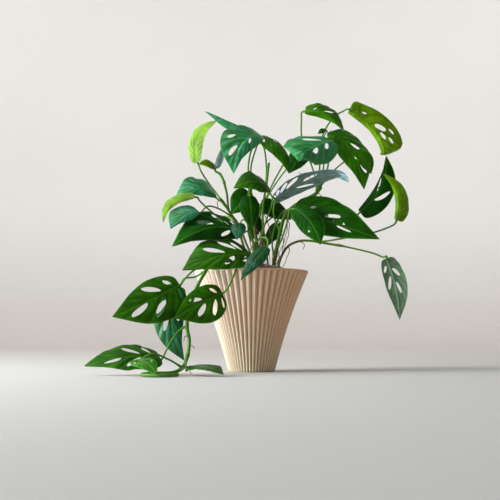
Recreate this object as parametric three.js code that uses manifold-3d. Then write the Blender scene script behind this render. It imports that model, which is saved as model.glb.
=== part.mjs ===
import * as THREE from 'three';
import { mergeVertices } from 'three/addons/utils/BufferGeometryUtils.js';
import Module from 'manifold-3d';

// A swiss cheese vine in a pleated pot. Millimetres, +Z up.
// The origin is the centre of the pot's foot, on the surface that the pot stands on.
// The front of the plant faces -Y.

const wasm = await Module();
wasm.setup();

// Pot
const POT_HEIGHT = 124.5;
const FOOT_RADIUS = 28.4;
const FLARE = 0.2456;
const FLARE_BEND = 0.000747;
const PLEATS = 52;
const PLEAT_DEPTH = 0.024;
const WALL = 3.4;
const FLOOR_THICKNESS = 6;
const RIM_LIP = 2.2;
const RIM_BEVEL = 0.6;
const FOOT_BEVEL = 1;

// Potting mix
const SOIL_GAP = 0.3;
const FACET_SAG = 0.25;
const SOIL_EDGE_HEIGHT = 119;
const SOIL_CROWN = 14;
const SOIL_FACETS = 48;
const SOIL_RINGS = [0.8, 0.55, 0.28];
const STEM_HOLE_BOTTOM = 100;
const STEM_HOLE_LENGTH = 60;
const STEM_HOLE_SIDES = 10;
const STEM_HOLE_GAP = 0.8;

// Vines and leaf stalks
const STALK_RADIUS = 1.1;
const STEM_SIDES = 6;
const STEM_STRAIGHT_TOP = 122;
const STALK_GAP = 0.9;
const STALK_LEAD = 6;
const STALK_RISE = 0.65;

// Leaf blades
const BLADE_THICKNESS = 0.8;
const VEIN_SWEEP = 1.3;
const HOLE_HALF_WIDTH = 0.43;

// One half of a blade, from the stalk to the tip. Each row is one side vein: where it leaves the
// midrib, how far along the blade it meets the margin, and how far out, as parts of the blade's
// length and of the half's width.
const BLADE_ROWS = [
  [0.0, 0.0, 0.06],
  [0.01, -0.025, 0.34],
  [0.02, 0.01, 0.64],
  [0.045, 0.13, 0.89],
  [0.1, 0.29, 1.0],
  [0.185, 0.46, 0.96],
  [0.29, 0.62, 0.79],
  [0.42, 0.76, 0.53],
  [0.58, 0.88, 0.25],
  [0.77, 0.96, 0.07],
  [1.0, 1.0, 0.0],
];

// The corners of a hole, as parts of its half width and of its reach.
const HOLE_CORNERS = [[0, -1], [1, -0.45], [1, 0.45], [0, 1], [-1, 0.45], [-1, -0.45]];

// Corners closer than this are one when solids are cut and joined.
const WELD_DISTANCE = 1e-4;

// Colours
const POT_CLAY = { color: 0xa98a6c, roughness: 0.75, metalness: 0 };
const SOIL_BROWN = { color: 0x5b4a3a, roughness: 0.95, metalness: 0 };
const VINE_GREEN = { color: 0x5f8a2e, roughness: 0.5, metalness: 0 };
const LEAF_TONES = {
  deep: { color: 0x14480f, roughness: 0.4, metalness: 0 },
  mid: { color: 0x2b6e0c, roughness: 0.4, metalness: 0 },
  teal: { color: 0x2c7a5c, roughness: 0.35, metalness: 0 },
  young: { color: 0x7fbf2a, roughness: 0.45, metalness: 0 },
  olive: { color: 0x6a8f14, roughness: 0.45, metalness: 0 },
  pale: { color: 0x7f9f78, roughness: 0.55, metalness: 0 },
  grey: { color: 0x4f7078, roughness: 0.55, metalness: 0 },
};

// Every blade: its foot where the stalk ends, its tip, the way its upper face looks, the widths
// of the right and left halves seen from above with the tip away, how far the midrib bows up and
// sways right, how far each half folds up in degrees, how far the margins droop, and its holes.
// A hole is the number of the side vein before it, then its centre and its reach across the half,
// and its half width where that isn't the usual one.
// Some also have rise, the angle in radians at which the stalk comes up to the blade; late, the
// power below 1 that moves the widest part towards the tip; or curl, where along the blade the tip
// starts to turn under, by how many degrees and at what radius.
const LEAVES = {
  crown_left_rear: {
    foot: [7, 26, 304], tip: [-61, 30, 335.5], face: [0, -0.85, 0.5], width: [7, 11],
    bow: 2, sway: -2, fold: [-50, 0], droop: 2, rise: 0.3, tone: 'teal',
    right: [],
    left: [[4, 0.4, 0.2, 0.25], [6, 0.2, 0.16, 0.35], [8, 0.4, 0.33, 0.4]],
  },
  crown_front: {
    foot: [10, 2, 298], tip: [-22, -42, 241], face: [-0.35, -0.85, 0.45], width: [30, 15],
    bow: 14, sway: 4, fold: [26, -30], droop: 3, rise: 1, tone: 'teal',
    right: [[5, 0.66, 0.14, 0.3], [7, 0.55, 0.28, 0.35]],
    left: [[5, 0.35, 0.2, 0.3]],
  },
  crown_right: {
    foot: [13, 12, 298], tip: [47, -8, 247], face: [0.35, -0.8, 0.45], width: [13, 12],
    bow: 8, sway: -4, fold: [-10, -10], droop: 2, rise: 1, tone: 'mid',
    right: [[3, 0.4, 0.2, 0.35]],
    left: [[2, 0.45, 0.2, 0.35], [4, 0.5, 0.22, 0.3]],
  },
  crown_young: {
    foot: [-69, -12, 262], tip: [-42, -22, 312], face: [-0.4, -0.9, 0.1], width: [10, 10],
    bow: 4, sway: -12, fold: [5, 5], droop: 1, tone: 'young',
    right: [],
    left: [],
  },
  left_bud_low: {
    foot: [-46, -13, 253], tip: [-66, -28, 255], face: [0, -0.9, 0.4], width: [7, 5],
    bow: 3, sway: 2, fold: [0, 0], droop: 1, rise: 0.3, tone: 'olive',
    right: [],
    left: [],
  },
  left_bud_high: {
    foot: [-44, -5, 255], tip: [-37, 2, 284], face: [0.5, 0.75, 0.3], width: [7, 5],
    bow: 2, sway: 0, fold: [15, 15], droop: 0, rise: 0, tone: 'grey',
    right: [],
    left: [],
  },
  left_upper: {
    foot: [-45.5, -18, 220], tip: [-92, -38, 215.5], face: [-0.1, -0.6, 0.8], width: [31, 12],
    bow: 8, sway: 0, fold: [8, -20], droop: 2, tone: 'teal',
    right: [],
    left: [],
  },
  left_young: {
    foot: [-71, -44, 213], tip: [-106, -58, 179], face: [-0.4, -0.8, 0.45], width: [9, 6],
    bow: 6, sway: 10, fold: [0, -20], droop: 1, rise: 0.4, tone: 'young',
    right: [],
    left: [],
  },
  left_middle: {
    foot: [-65.5, -52, 194], tip: [-96, -72, 170], face: [-0.3, -0.8, 0.5], width: [22, 9],
    bow: 4, sway: 2, fold: [0, -10], droop: 2, tone: 'teal',
    right: [],
    left: [],
  },
  left_dark: {
    foot: [-14, -34, 172], tip: [-94, -74, 149], face: [0, -0.75, 0.65], width: [34, 16],
    bow: 14, sway: 2, fold: [0, -35], droop: 3, tone: 'deep',
    right: [[2, 0.45, 0.25], [4, 0.45, 0.3], [6, 0.45, 0.25]],
    left: [[4, 0.5, 0.25]],
  },
  centre_folded: {
    foot: [21, -34, 226], tip: [-22, -56, 221], face: [0, -0.75, 0.65], width: [23, 15],
    bow: 10, sway: 0, fold: [0, -10], droop: 3, tone: 'mid',
    right: [[3, 0.5, 0.25]],
    left: [],
  },
  centre_dark: {
    foot: [-3, -27, 215], tip: [0, -38, 173], face: [0.1, -0.95, 0.3], width: [13, 12],
    bow: 4, sway: 0, fold: [0, 0], droop: 3, tone: 'deep',
    right: [],
    left: [],
  },
  centre_rear_left: {
    foot: [-4, 10, 226], tip: [-26, 14, 198], face: [0.2, -0.9, 0.3], width: [15, 14],
    bow: 3, sway: 0, fold: [0, 0], droop: 2, tone: 'deep',
    right: [],
    left: [],
  },
  centre_rear_right: {
    foot: [13, 22, 212], tip: [52, 38, 194], face: [0, -0.8, 0.5], width: [14, 15],
    bow: 4, sway: 0, fold: [0, 0], droop: 2, tone: 'deep',
    right: [],
    left: [],
  },
  centre_low_left: {
    foot: [7, 12, 194], tip: [-1, 9, 162], face: [0.2, -0.9, 0.35], width: [9, 9],
    bow: 3, sway: 0, fold: [0, 0], droop: 2, tone: 'deep',
    right: [],
    left: [],
  },
  centre_low_right: {
    foot: [34, 14, 186], tip: [19, 10, 156], face: [-0.2, -0.9, 0.35], width: [9, 10],
    bow: 3, sway: 0, fold: [0, 0], droop: 2, tone: 'deep',
    right: [],
    left: [],
  },
  right_broad: {
    foot: [102, 2, 291.5], tip: [48.5, -62, 252], face: [0.1, -0.5, 0.85], width: [40, 26],
    bow: 2, sway: 4, fold: [0, -35], droop: 6, rise: 1, curl: [0.62, 60, 17], tone: 'teal',
    right: [[4, 0.42, 0.32, 0.45]],
    left: [[4, 0.25, 0.16, 0.45], [6, 0.4, 0.2, 0.42]],
  },
  right_under: {
    foot: [70, 22, 284], tip: [48, 24, 252], face: [-0.2, -0.95, 0.2], width: [14, 12],
    bow: 3, sway: 0, fold: [0, 0], droop: 2, tone: 'deep',
    right: [[4, 0.5, 0.25]],
    left: [],
  },
  right_large: {
    foot: [105, 20, 306], tip: [141, -12, 226], face: [0.35, -0.85, 0.45], width: [16, 29],
    bow: 8, sway: -3, fold: [-10, 0], droop: 3, tone: 'mid',
    right: [],
    left: [[5, 0.45, 0.17, 0.36], [7, 0.6, 0.28, 0.4], [7, 0.14, 0.12, 0.2]],
  },
  right_top: {
    foot: [69.5, 4, 330], tip: [118, 6, 304], face: [0.2, -0.7, 0.65], width: [9, 21],
    bow: 9, sway: -2, fold: [-80, 0], droop: 2, rise: 0.3, tone: 'mid',
    right: [],
    left: [[4, 0.22, 0.14, 0.25], [6, 0.45, 0.28, 0.32]],
  },
  right_bud: {
    foot: [95, 17, 308], tip: [85, 14, 302], face: [0, -0.8, 0.5], width: [4, 4],
    bow: 1, sway: 0, fold: [0, 0], droop: 0, tone: 'deep',
    right: [],
    left: [],
  },
  right_yellow: {
    foot: [128.5, 10, 330], tip: [162, 8, 228.5], face: [0.3, -0.9, 0.3], width: [9, 29],
    bow: 4, sway: -27, fold: [-70, 0], droop: 2, rise: -0.3, late: 0.7, curl: [0.52, 150, 8], tone: 'olive',
    right: [],
    left: [[2, 0.35, 0.07, 0.25], [4, 0.28, 0.18, 0.4], [4, 0.64, 0.07, 0.2], [5, 0.17, 0.09, 0.4],
      [5, 0.46, 0.09, 0.22]],
  },
  right_rear_tip: {
    foot: [145, 40, 283], tip: [157, 44, 255], face: [0, -0.9, 0.3], width: [10, 10],
    bow: 3, sway: 0, fold: [0, 0], droop: 1, tone: 'mid',
    right: [],
    left: [],
  },
  right_dark_up: {
    foot: [142, 34, 205], tip: [175, 33, 278], face: [-0.1, -0.95, 0.2], width: [20, 7],
    bow: 5, sway: 11, fold: [0, 0], droop: 2, tone: 'deep',
    right: [[5, 0.45, 0.34, 0.35]],
    left: [[6, 0.5, 0.32, 0.35]],
  },
  right_olive: {
    foot: [182, -8, 190], tip: [166, -6, 247], face: [0.35, -0.9, 0], width: [16, 6],
    bow: 3, sway: 10, fold: [-10, -45], droop: 2, rise: 0, tone: 'olive',
    right: [],
    left: [],
  },
  right_hanging: {
    foot: [166, -26, 136.5], tip: [178.5, -40, 63], face: [-0.2, 0.95, 0.1], width: [15, 13],
    bow: 3, sway: 5, fold: [0, 0], droop: 2, tone: 'pale',
    right: [[4, 0.4, 0.25], [6, 0.4, 0.25]],
    left: [[3, 0.5, 0.25], [5, 0.5, 0.32]],
  },
  right_low_big: {
    foot: [53.5, -14, 202], tip: [154.5, -50, 160], face: [0.1, -0.93, 0.35], width: [20, 33],
    bow: 6, sway: 4, fold: [0, 0], droop: 3, tone: 'deep',
    right: [[4, 0.35, 0.2, 0.25], [7, 0.45, 0.22, 0.36]],
    left: [[4, 0.3, 0.11, 0.28], [6, 0.34, 0.22, 0.42], [7, 0.2, 0.15, 0.4]],
  },
  right_low_front: {
    foot: [54, -32, 199], tip: [82, -64, 152], face: [-0.1, -0.9, 0.3], width: [15, 16],
    bow: 4, sway: -4, fold: [0, -10], droop: 2, late: 0.7, tone: 'deep',
    right: [[3, 0.5, 0.14, 0.3], [6, 0.45, 0.3, 0.36]],
    left: [],
  },
  right_shaded: {
    foot: [31, -2, 215.5], tip: [129.5, -24, 244], face: [-0.1, 0.5, 0.87], width: [21, 12],
    bow: 12, sway: 0, fold: [0, 0], droop: 3, curl: [0.8, 90, 14], tone: 'grey',
    right: [[1, 0.5, 0.3], [2, 0.5, 0.3], [3, 0.5, 0.32], [4, 0.5, 0.32], [6, 0.4, 0.25]],
    left: [[5, 0.5, 0.3]],
  },
  front_big: {
    foot: [-3, -56, 142], tip: [-80, -96, 119.5], face: [-0.1, -0.75, 0.65], width: [36, 23],
    bow: 8, sway: 0, fold: [0, -5], droop: 3, tone: 'mid',
    right: [[3, 0.4, 0.25], [4, 0.5, 0.3], [6, 0.45, 0.34]],
    left: [[3, 0.5, 0.25], [5, 0.5, 0.28]],
  },
  front_under: {
    foot: [17, -58, 149], tip: [-13, -90, 108], face: [0.1, -0.7, 0.7], width: [9, 10],
    bow: 4, sway: 0, fold: [0, 0], droop: 2, tone: 'teal',
    right: [],
    left: [],
  },
  front_small: {
    foot: [-15, -40, 180.5], tip: [-17.5, -56, 158.5], face: [0, -0.9, 0.4], width: [9, 9],
    bow: 3, sway: 0, fold: [0, 0], droop: 2, tone: 'teal',
    right: [],
    left: [],
  },
  trail_upper: {
    foot: [-85, -88, 102.5], tip: [-157, -118, 65.5], face: [-0.1, -0.97, 0.15], width: [23, 30],
    bow: 3, sway: -2, fold: [0, -5], droop: 3, tone: 'mid',
    right: [[3, 0.4, 0.24], [5, 0.5, 0.33]],
    left: [[2, 0.4, 0.28], [5, 0.5, 0.33], [7, 0.5, 0.36]],
  },
  trail_inner: {
    foot: [-35.5, -82, 93], tip: [-89, -102, 64], face: [0, -1, 0.05], width: [18, 26],
    bow: 3, sway: 1, fold: [0, 0], droop: 3, tone: 'mid',
    right: [[3, 0.4, 0.25], [6, 0.5, 0.28]],
    left: [[2, 0.5, 0.3], [4, 0.45, 0.32], [6, 0.45, 0.3]],
  },
  trail_hanging: {
    foot: [-86, -72, 100], tip: [-77.5, -84, 15], face: [0, -0.97, 0.1], width: [21, 15],
    bow: 2, sway: 12, fold: [0, 0], droop: 3, tone: 'teal',
    right: [[4, 0.6, 0.28], [6, 0.4, 0.28]],
    left: [[5, 0.45, 0.28]],
  },
  trail_low_left: {
    foot: [-107, -96, 20], tip: [-186, -128, 11], face: [-0.1, -0.6, 0.8], width: [25, 25],
    bow: 6, sway: 0, fold: [0, 0], droop: 2, tone: 'mid',
    right: [[3, 0.5, 0.25], [5, 0.45, 0.32]],
    left: [[3, 0.5, 0.25], [5, 0.5, 0.34], [7, 0.5, 0.32]],
  },
  trail_low_narrow: {
    foot: [-127, -128, 18], tip: [-100, -178, 3], face: [-0.1, -0.3, 0.95], width: [13, 12],
    bow: 4, sway: 0, fold: [0, 0], droop: 1, tone: 'mid',
    right: [[4, 0.5, 0.28]],
    left: [[3, 0.5, 0.25], [5, 0.5, 0.3]],
  },
  trail_low_front: {
    foot: [-72, -108, 9], tip: [-30, -165, 3], face: [0.1, -0.3, 0.95], width: [17, 18],
    bow: 5, sway: 0, fold: [0, 0], droop: 2, tone: 'deep',
    right: [[4, 0.5, 0.28]],
    left: [[3, 0.5, 0.25], [5, 0.5, 0.3]],
  },
  rear_left: {
    foot: [-45, 38, 196], tip: [-78, 72, 184], face: [-0.3, 0.3, 0.9], width: [18, 20],
    bow: 6, sway: 0, fold: [0, 0], droop: 2, tone: 'mid',
    right: [[4, 0.5, 0.25]],
    left: [[3, 0.5, 0.25], [5, 0.5, 0.25]],
  },
  rear_right: {
    foot: [60, 50, 204], tip: [104, 84, 204], face: [0, 0.3, 0.95], width: [22, 24],
    bow: 6, sway: 0, fold: [0, 0], droop: 2, tone: 'deep',
    right: [[3, 0.5, 0.25], [5, 0.5, 0.28]],
    left: [[4, 0.5, 0.28]],
  },
  rear_high: {
    foot: [62, 40, 283], tip: [85, 88, 277], face: [0.1, 0.2, 0.95], width: [16, 18],
    bow: 5, sway: 0, fold: [0, 0], droop: 2, tone: 'mid',
    right: [[4, 0.5, 0.25]],
    left: [[4, 0.5, 0.25]],
  },
};

const VINES = {
  vine_trailing: {
    radius: 2.1,
    path: [[-22, -30, 131], [-32, -41, 137], [-47, -55, 131], [-57, -66, 116], [-66, -75, 96],
      [-72, -80, 76], [-75, -84, 56], [-72, -87, 38], [-74, -92, 20], [-79, -98, 8], [-88, -106, 3],
      [-104, -120, 2.5], [-118, -140, 2.5], [-116, -162, 2.5], [-96, -172, 2.5], [-80, -160, 2.5]],
    stalks: {
      trail_hanging: [[-50, -60, 126], [-66, -64, 114], [-80, -68, 111]],
      trail_low_left: [[-75, -84, 56], [-84, -84, 50], [-95, -89, 34]],
      trail_low_narrow: [[-79, -98, 8], [-95, -108, 18], [-112, -116, 24]],
      trail_low_front: [[-74, -92, 22], [-75, -98, 14]],
    },
  },
  vine_front: {
    radius: 2.1,
    path: [[4, -38, 131], [4, -40, 145], [3, -43, 156]],
    stalks: {
      front_big: [[4, -39.5, 140], [5, -46, 143]],
      front_under: [[3, -43, 154], [11, -44, 162], [19, -50, 160]],
      front_small: [[3.5, -41, 150], [-1, -34, 172], [-10, -31, 186]],
      left_dark: [[3.5, -41, 150], [0, -34, 163], [-4, -30, 172]],
      trail_inner: [[4, -38, 134], [-6, -52, 137], [-16, -72, 127], [-21, -79, 114], [-27, -81, 101]],
      trail_upper: [[4, -38, 132], [-22, -48, 133], [-46, -62, 130], [-66, -76, 122], [-78, -83, 110]],
    },
  },
  vine_left: {
    radius: 1.6,
    path: [[-4, -12, 135], [-10, -14, 155], [-18, -15, 180], [-27, -16, 197], [-38, -18, 213]],
    stalks: {
      left_upper: [[-32, -16, 204], [-37, -14, 210]],
      left_young: [[-14, -14, 168], [-36, -16, 186], [-54, -28, 200], [-64, -37, 209]],
      left_middle: [[-24, -15.5, 191], [-40, -25, 200], [-54, -40, 201]],
      crown_young: [[-36, -17, 210], [-44, -6, 222], [-54, 2, 236], [-64, -6, 251]],
    },
  },
  vine_slim: {
    radius: 1.4,
    path: [[2, 0, 136], [-7, -2, 160], [-17, -3, 184], [-28, -4, 200], [-31, -4, 222], [-35, -6, 238]],
    stalks: {
      left_bud_low: [[-34, -6, 236], [-39, -9, 247]],
      left_bud_high: [[-34, -6, 236], [-41, -5, 247]],
      rear_left: [[-12, -2, 170], [-22, 14, 190], [-36, 30, 197]],
    },
  },
  vine_crown: {
    radius: 2.2,
    path: [[10, 4, 135], [6, 2, 165], [0, 0, 205], [-2, 2, 236]],
    stalks: {
      crown_left_rear: [[-1.5, 2, 230], [0, 10, 262], [10, 24, 296]],
      crown_front: [[-1.8, 2, 230], [-4, 2, 258], [2, 4, 284]],
      centre_folded: [[8, 3, 145], [16, -12, 180], [26, -26, 212]],
      centre_dark: [[-1, 1, 220], [-3, -12, 226]],
      centre_rear_left: [[-1, 1, 220], [0, 7, 229]],
      centre_low_left: [[0, 0.3, 203], [3, 6, 208]],
    },
  },
  vine_centre: {
    radius: 1.5,
    path: [[20, -10, 134], [16, -6, 165], [14, -2, 200], [19, 2, 236], [22, 4, 262]],
    stalks: {
      crown_right: [[18, 1, 232], [19, 8, 258], [16, 16, 284]],
    },
  },
  vine_right: {
    radius: 2.3,
    path: [[28, -4, 133], [31, -4, 150], [36, -4, 174], [43, -2, 196], [55, 4, 208], [70, 8, 217],
      [83, 8, 225], [86, 8, 233]],
    stalks: {
      right_top: [[85, 8, 231], [80, 11, 250], [73, 14, 272], [65, 20, 296], [64, 12, 320]],
      right_broad: [[86, 8, 232], [91, 6, 255], [95, 3, 276]],
      right_large: [[86, 8, 232], [97, 18, 256], [101, 26, 284]],
      right_yellow: [[86, 8, 231], [88, 22, 265], [91, 30, 298], [98, 33, 315], [108, 28, 328],
        [118, 16, 332]],
      right_bud: [[90.5, 29, 294], [95, 22, 303]],
      right_rear_tip: [[86, 8, 231], [108, 26, 258], [134, 40, 280]],
      right_low_big: [[29, -4, 140], [26, 2, 160], [30, 5, 182], [40, 3, 200]],
      right_low_front: [[31, -4, 150], [38, -11, 165], [44, -16, 184], [48, -20, 200]],
      right_shaded: [[36, -4, 174], [28, 0, 195]],
      right_dark_up: [[43, -2, 196], [80, 18, 196], [115, 30, 194], [132, 34, 196]],
    },
  },
  vine_low: {
    radius: 1.5,
    path: [[34, 8, 131], [38, 6, 144], [46, 0, 156], [60, -5, 162], [74, -8, 162], [95, -12, 158],
      [112, -16, 155]],
    stalks: {
      right_hanging: [[108, -15, 156], [150, -24, 145], [162, -26, 140]],
      right_olive: [[84, -10, 160], [118, -18, 165], [150, -20, 171], [174, -13, 180]],
    },
  },
  vine_rear: {
    radius: 1.8,
    path: [[14, 30, 131], [14, 34, 165], [10, 38, 195], [14, 42, 215]],
    stalks: {
      centre_rear_right: [[10, 38, 192], [8, 28, 202]],
      centre_low_right: [[13, 34.6, 168], [24, 28, 180], [33, 21, 190]],
      right_under: [[14, 42, 212], [34, 38, 245], [60, 32, 276]],
      rear_right: [[11, 37, 182], [30, 42, 200], [48, 46, 208]],
      rear_high: [[14, 42, 212], [32, 42, 250], [52, 42, 280]],
    },
  },
};

const tripled = (row) => new THREE.Vector3(...row);

// The pot's outside radius at a height, between the pleats.
function potRadius(height) {
  return FOOT_RADIUS + FLARE * height + FLARE_BEND * height * height;
}

// A closed mesh as a solid for cutting and joining.
function solidOf(geometry) {
  const plain = geometry.clone();
  plain.deleteAttribute('normal');
  plain.deleteAttribute('uv');
  const welded = mergeVertices(plain, WELD_DISTANCE);
  return new wasm.Manifold(new wasm.Mesh({
    numProp: 3,
    vertProperties: new Float32Array(welded.attributes.position.array),
    triVerts: new Uint32Array(welded.index.array),
  }));
}

function geometryOf(solid) {
  const mesh = solid.getMesh();
  const geometry = new THREE.BufferGeometry();
  geometry.setAttribute('position', new THREE.BufferAttribute(mesh.vertProperties, mesh.numProp));
  geometry.setIndex(new THREE.BufferAttribute(mesh.triVerts, 1));
  return geometry;
}

function namedMesh(name, geometry, finish) {
  const mesh = new THREE.Mesh(geometry, new THREE.MeshStandardMaterial(finish));
  mesh.name = name;
  return mesh;
}

// A body made of rings of points, closed by a fan to a centre point at each end.
function ringedBody(rings, firstCentre, lastCentre) {
  const count = rings[0].length;
  const positions = [];
  const indices = [];
  for (const ring of rings) {
    for (const point of ring) positions.push(...point);
  }
  for (let level = 0; level + 1 < rings.length; level += 1) {
    for (let i = 0; i < count; i += 1) {
      const next = (i + 1) % count;
      const a = level * count + i;
      const b = level * count + next;
      indices.push(a, b, b + count, a, b + count, a + count);
    }
  }
  const first = positions.length / 3;
  positions.push(...firstCentre, ...lastCentre);
  const lastRing = (rings.length - 1) * count;
  for (let i = 0; i < count; i += 1) {
    const next = (i + 1) % count;
    indices.push(first, next, i);
    indices.push(first + 1, lastRing + i, lastRing + next);
  }
  const geometry = new THREE.BufferGeometry();
  geometry.setAttribute('position', new THREE.Float32BufferAttribute(positions, 3));
  geometry.setIndex(indices);
  return geometry;
}

// The pleated cup: up the outside, over the rim, down the inside to the floor.
function buildPot() {
  const corners = 2 * PLEATS;
  const ring = (height, radius, depth) => Array.from({ length: corners }, (_, i) => {
    const angle = -Math.PI / 2 + (Math.PI * i) / PLEATS;
    const reach = radius + (i % 2 ? depth : -depth);
    return [reach * Math.cos(angle), reach * Math.sin(angle), height];
  });
  const outside = (height) => ring(height, potRadius(height), PLEAT_DEPTH * potRadius(height) / 2);
  const lipRadius = potRadius(POT_HEIGHT);
  const inside = (height) => ring(height, potRadius(height) - WALL, 0);
  const rings = [
    ring(0, FOOT_RADIUS - FOOT_BEVEL, 0),
    outside(FOOT_BEVEL),
    outside(POT_HEIGHT / 3),
    outside((2 * POT_HEIGHT) / 3),
    outside(POT_HEIGHT - RIM_LIP - RIM_BEVEL),
    ring(POT_HEIGHT - RIM_LIP, lipRadius, 0),
    ring(POT_HEIGHT, lipRadius, 0),
    ring(POT_HEIGHT, lipRadius - WALL + RIM_BEVEL, 0),
    inside(POT_HEIGHT - RIM_LIP),
    inside(POT_HEIGHT / 2),
    inside(FLOOR_THICKNESS),
  ];
  return namedMesh('pot', ringedBody(rings, [0, 0, 0], [0, 0, FLOOR_THICKNESS]), POT_CLAY);
}

// The mix fills the cup and mounds up in the middle; each vine stands in a plain hole.
function buildSoil() {
  const ring = (height, radius) => Array.from({ length: SOIL_FACETS }, (_, i) => {
    const angle = (2 * Math.PI * i) / SOIL_FACETS;
    return [radius * Math.cos(angle), radius * Math.sin(angle), height];
  });
  const inset = (height) => potRadius(height) - WALL - SOIL_GAP - FACET_SAG;
  const edge = inset(SOIL_EDGE_HEIGHT);
  const low = FLOOR_THICKNESS + SOIL_GAP;
  const crown = SOIL_EDGE_HEIGHT + SOIL_CROWN;
  const mound = SOIL_RINGS.map((part) => (
    ring(SOIL_EDGE_HEIGHT + SOIL_CROWN * (1 - part * part), edge * part)
  ));
  const rings = [
    ring(low, inset(low)),
    ring(POT_HEIGHT / 2, inset(POT_HEIGHT / 2)),
    ring(SOIL_EDGE_HEIGHT, edge),
    ...mound,
  ];
  let soil = solidOf(ringedBody(rings, [0, 0, low], [0, 0, crown]));
  for (const vine of Object.values(VINES)) {
    const [x, y] = vine.path[0];
    const radius = vine.radius + STEM_HOLE_GAP;
    const drill = new THREE.CylinderGeometry(radius, radius, STEM_HOLE_LENGTH, STEM_HOLE_SIDES);
    drill.rotateX(Math.PI / 2);
    drill.translate(x, y, STEM_HOLE_BOTTOM + STEM_HOLE_LENGTH / 2);
    soil = soil.subtract(solidOf(drill));
  }
  return namedMesh('soil', geometryOf(soil), SOIL_BROWN);
}

// A round stem of one thickness along a smooth path.
function tube(points, radius, steps) {
  const section = new THREE.Shape();
  for (let i = 0; i < STEM_SIDES; i += 1) {
    const angle = (2 * Math.PI * i) / STEM_SIDES;
    const spot = [radius * Math.cos(angle), radius * Math.sin(angle)];
    if (i) section.lineTo(...spot);
    else section.moveTo(...spot);
  }
  section.closePath();
  const extrudePath = new THREE.CatmullRomCurve3(points.map(tripled), false, 'centripetal');
  return new THREE.ExtrudeGeometry(section, { extrudePath, steps });
}

// The stalk comes up to the blade's foot from behind and below and stops just short of it.
function stalkPoints(leaf, way) {
  const { centre, forward, face } = bladeFrame(leaf)(0);
  const rise = leaf.rise ?? STALK_RISE;
  const arrival = forward.multiplyScalar(Math.cos(rise)).addScaledVector(face, Math.sin(rise));
  const end = centre.clone().addScaledVector(arrival, -STALK_GAP);
  const lead = centre.clone().addScaledVector(arrival, -STALK_LEAD);
  return [...way, lead.toArray(), end.toArray()];
}

// A vine is its main stem with its leaf stalks grown onto it.
function buildVine(name, vine) {
  const [x, y] = vine.path[0];
  const standing = [[x, y, STEM_HOLE_BOTTOM + SOIL_GAP], [x, y, STEM_STRAIGHT_TOP], ...vine.path];
  let body = solidOf(tube(standing, vine.radius, 2 * standing.length - 2));
  for (const [leafName, way] of Object.entries(vine.stalks)) {
    const points = stalkPoints(LEAVES[leafName], way);
    body = body.add(solidOf(tube(points, STALK_RADIUS, points.length + 2)));
  }
  return namedMesh(name, geometryOf(body), VINE_GREEN);
}

// The blade's midrib and the frame that goes along it. A curled tip follows an arc.
function bladeFrame(leaf) {
  const foot = tripled(leaf.foot);
  const span = tripled(leaf.tip).sub(foot);
  const ahead = span.clone().normalize();
  const up = tripled(leaf.face).addScaledVector(ahead, -tripled(leaf.face).dot(ahead)).normalize();
  const right = ahead.clone().cross(up);
  const bend = up.clone().multiplyScalar(leaf.bow).addScaledVector(right, leaf.sway);
  const [start, degrees, radius] = leaf.curl ?? [1, 0, 0];
  return (along) => {
    const base = Math.min(along, start);
    const arch = base < 0 ? 4 * base : 4 * base * (1 - base);
    const slope = base < 0 ? 4 : 4 - 8 * base;
    const centre = foot.clone().addScaledVector(span, base).addScaledVector(bend, arch);
    const forward = span.clone().addScaledVector(bend, slope).normalize();
    const face = up.clone().addScaledVector(forward, -up.dot(forward)).normalize();
    const side = forward.clone().cross(face);
    if (along > start) {
      const turn = (((degrees * Math.PI) / 180) * (along - start)) / (1 - start);
      centre.addScaledVector(forward, radius * Math.sin(turn));
      centre.addScaledVector(face, radius * (Math.cos(turn) - 1));
      forward.applyAxisAngle(side, -turn);
      face.applyAxisAngle(side, -turn);
    }
    return { centre, forward, face, side };
  };
}

// The middle of the blade's thickness and the way it faces, at a place given by the side vein's
// number and the part of the way out to the margin.
function bladePoint(leaf, frame, half, vein, out) {
  const row = Math.min(Math.floor(vein), BLADE_ROWS.length - 2);
  const part = vein - row;
  const [rib, along, across] = BLADE_ROWS[row].map((value, i) => (
    value + (BLADE_ROWS[row + 1][i] - value) * part
  )).map((value, i) => (i < 2 && value > 0 ? value ** (leaf.late ?? 1) : value));
  const { centre, face, side } = frame(rib + (along - rib) * out ** VEIN_SWEEP);
  const sign = half === 'right' ? 1 : -1;
  const fold = ((half === 'right' ? leaf.fold[0] : leaf.fold[1]) * Math.PI) / 180;
  const width = half === 'right' ? leaf.width[0] : leaf.width[1];
  const [rise, run] = [Math.sin(fold), Math.cos(fold)];
  const outward = side.clone().multiplyScalar(sign * run).addScaledVector(face, rise);
  const normal = face.clone().multiplyScalar(run).addScaledVector(side, -sign * rise);
  const reach = across * out;
  const point = centre.addScaledVector(outward, reach * width)
    .addScaledVector(normal, -leaf.droop * reach * reach);
  return { point, normal: out ? normal : face };
}

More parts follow.
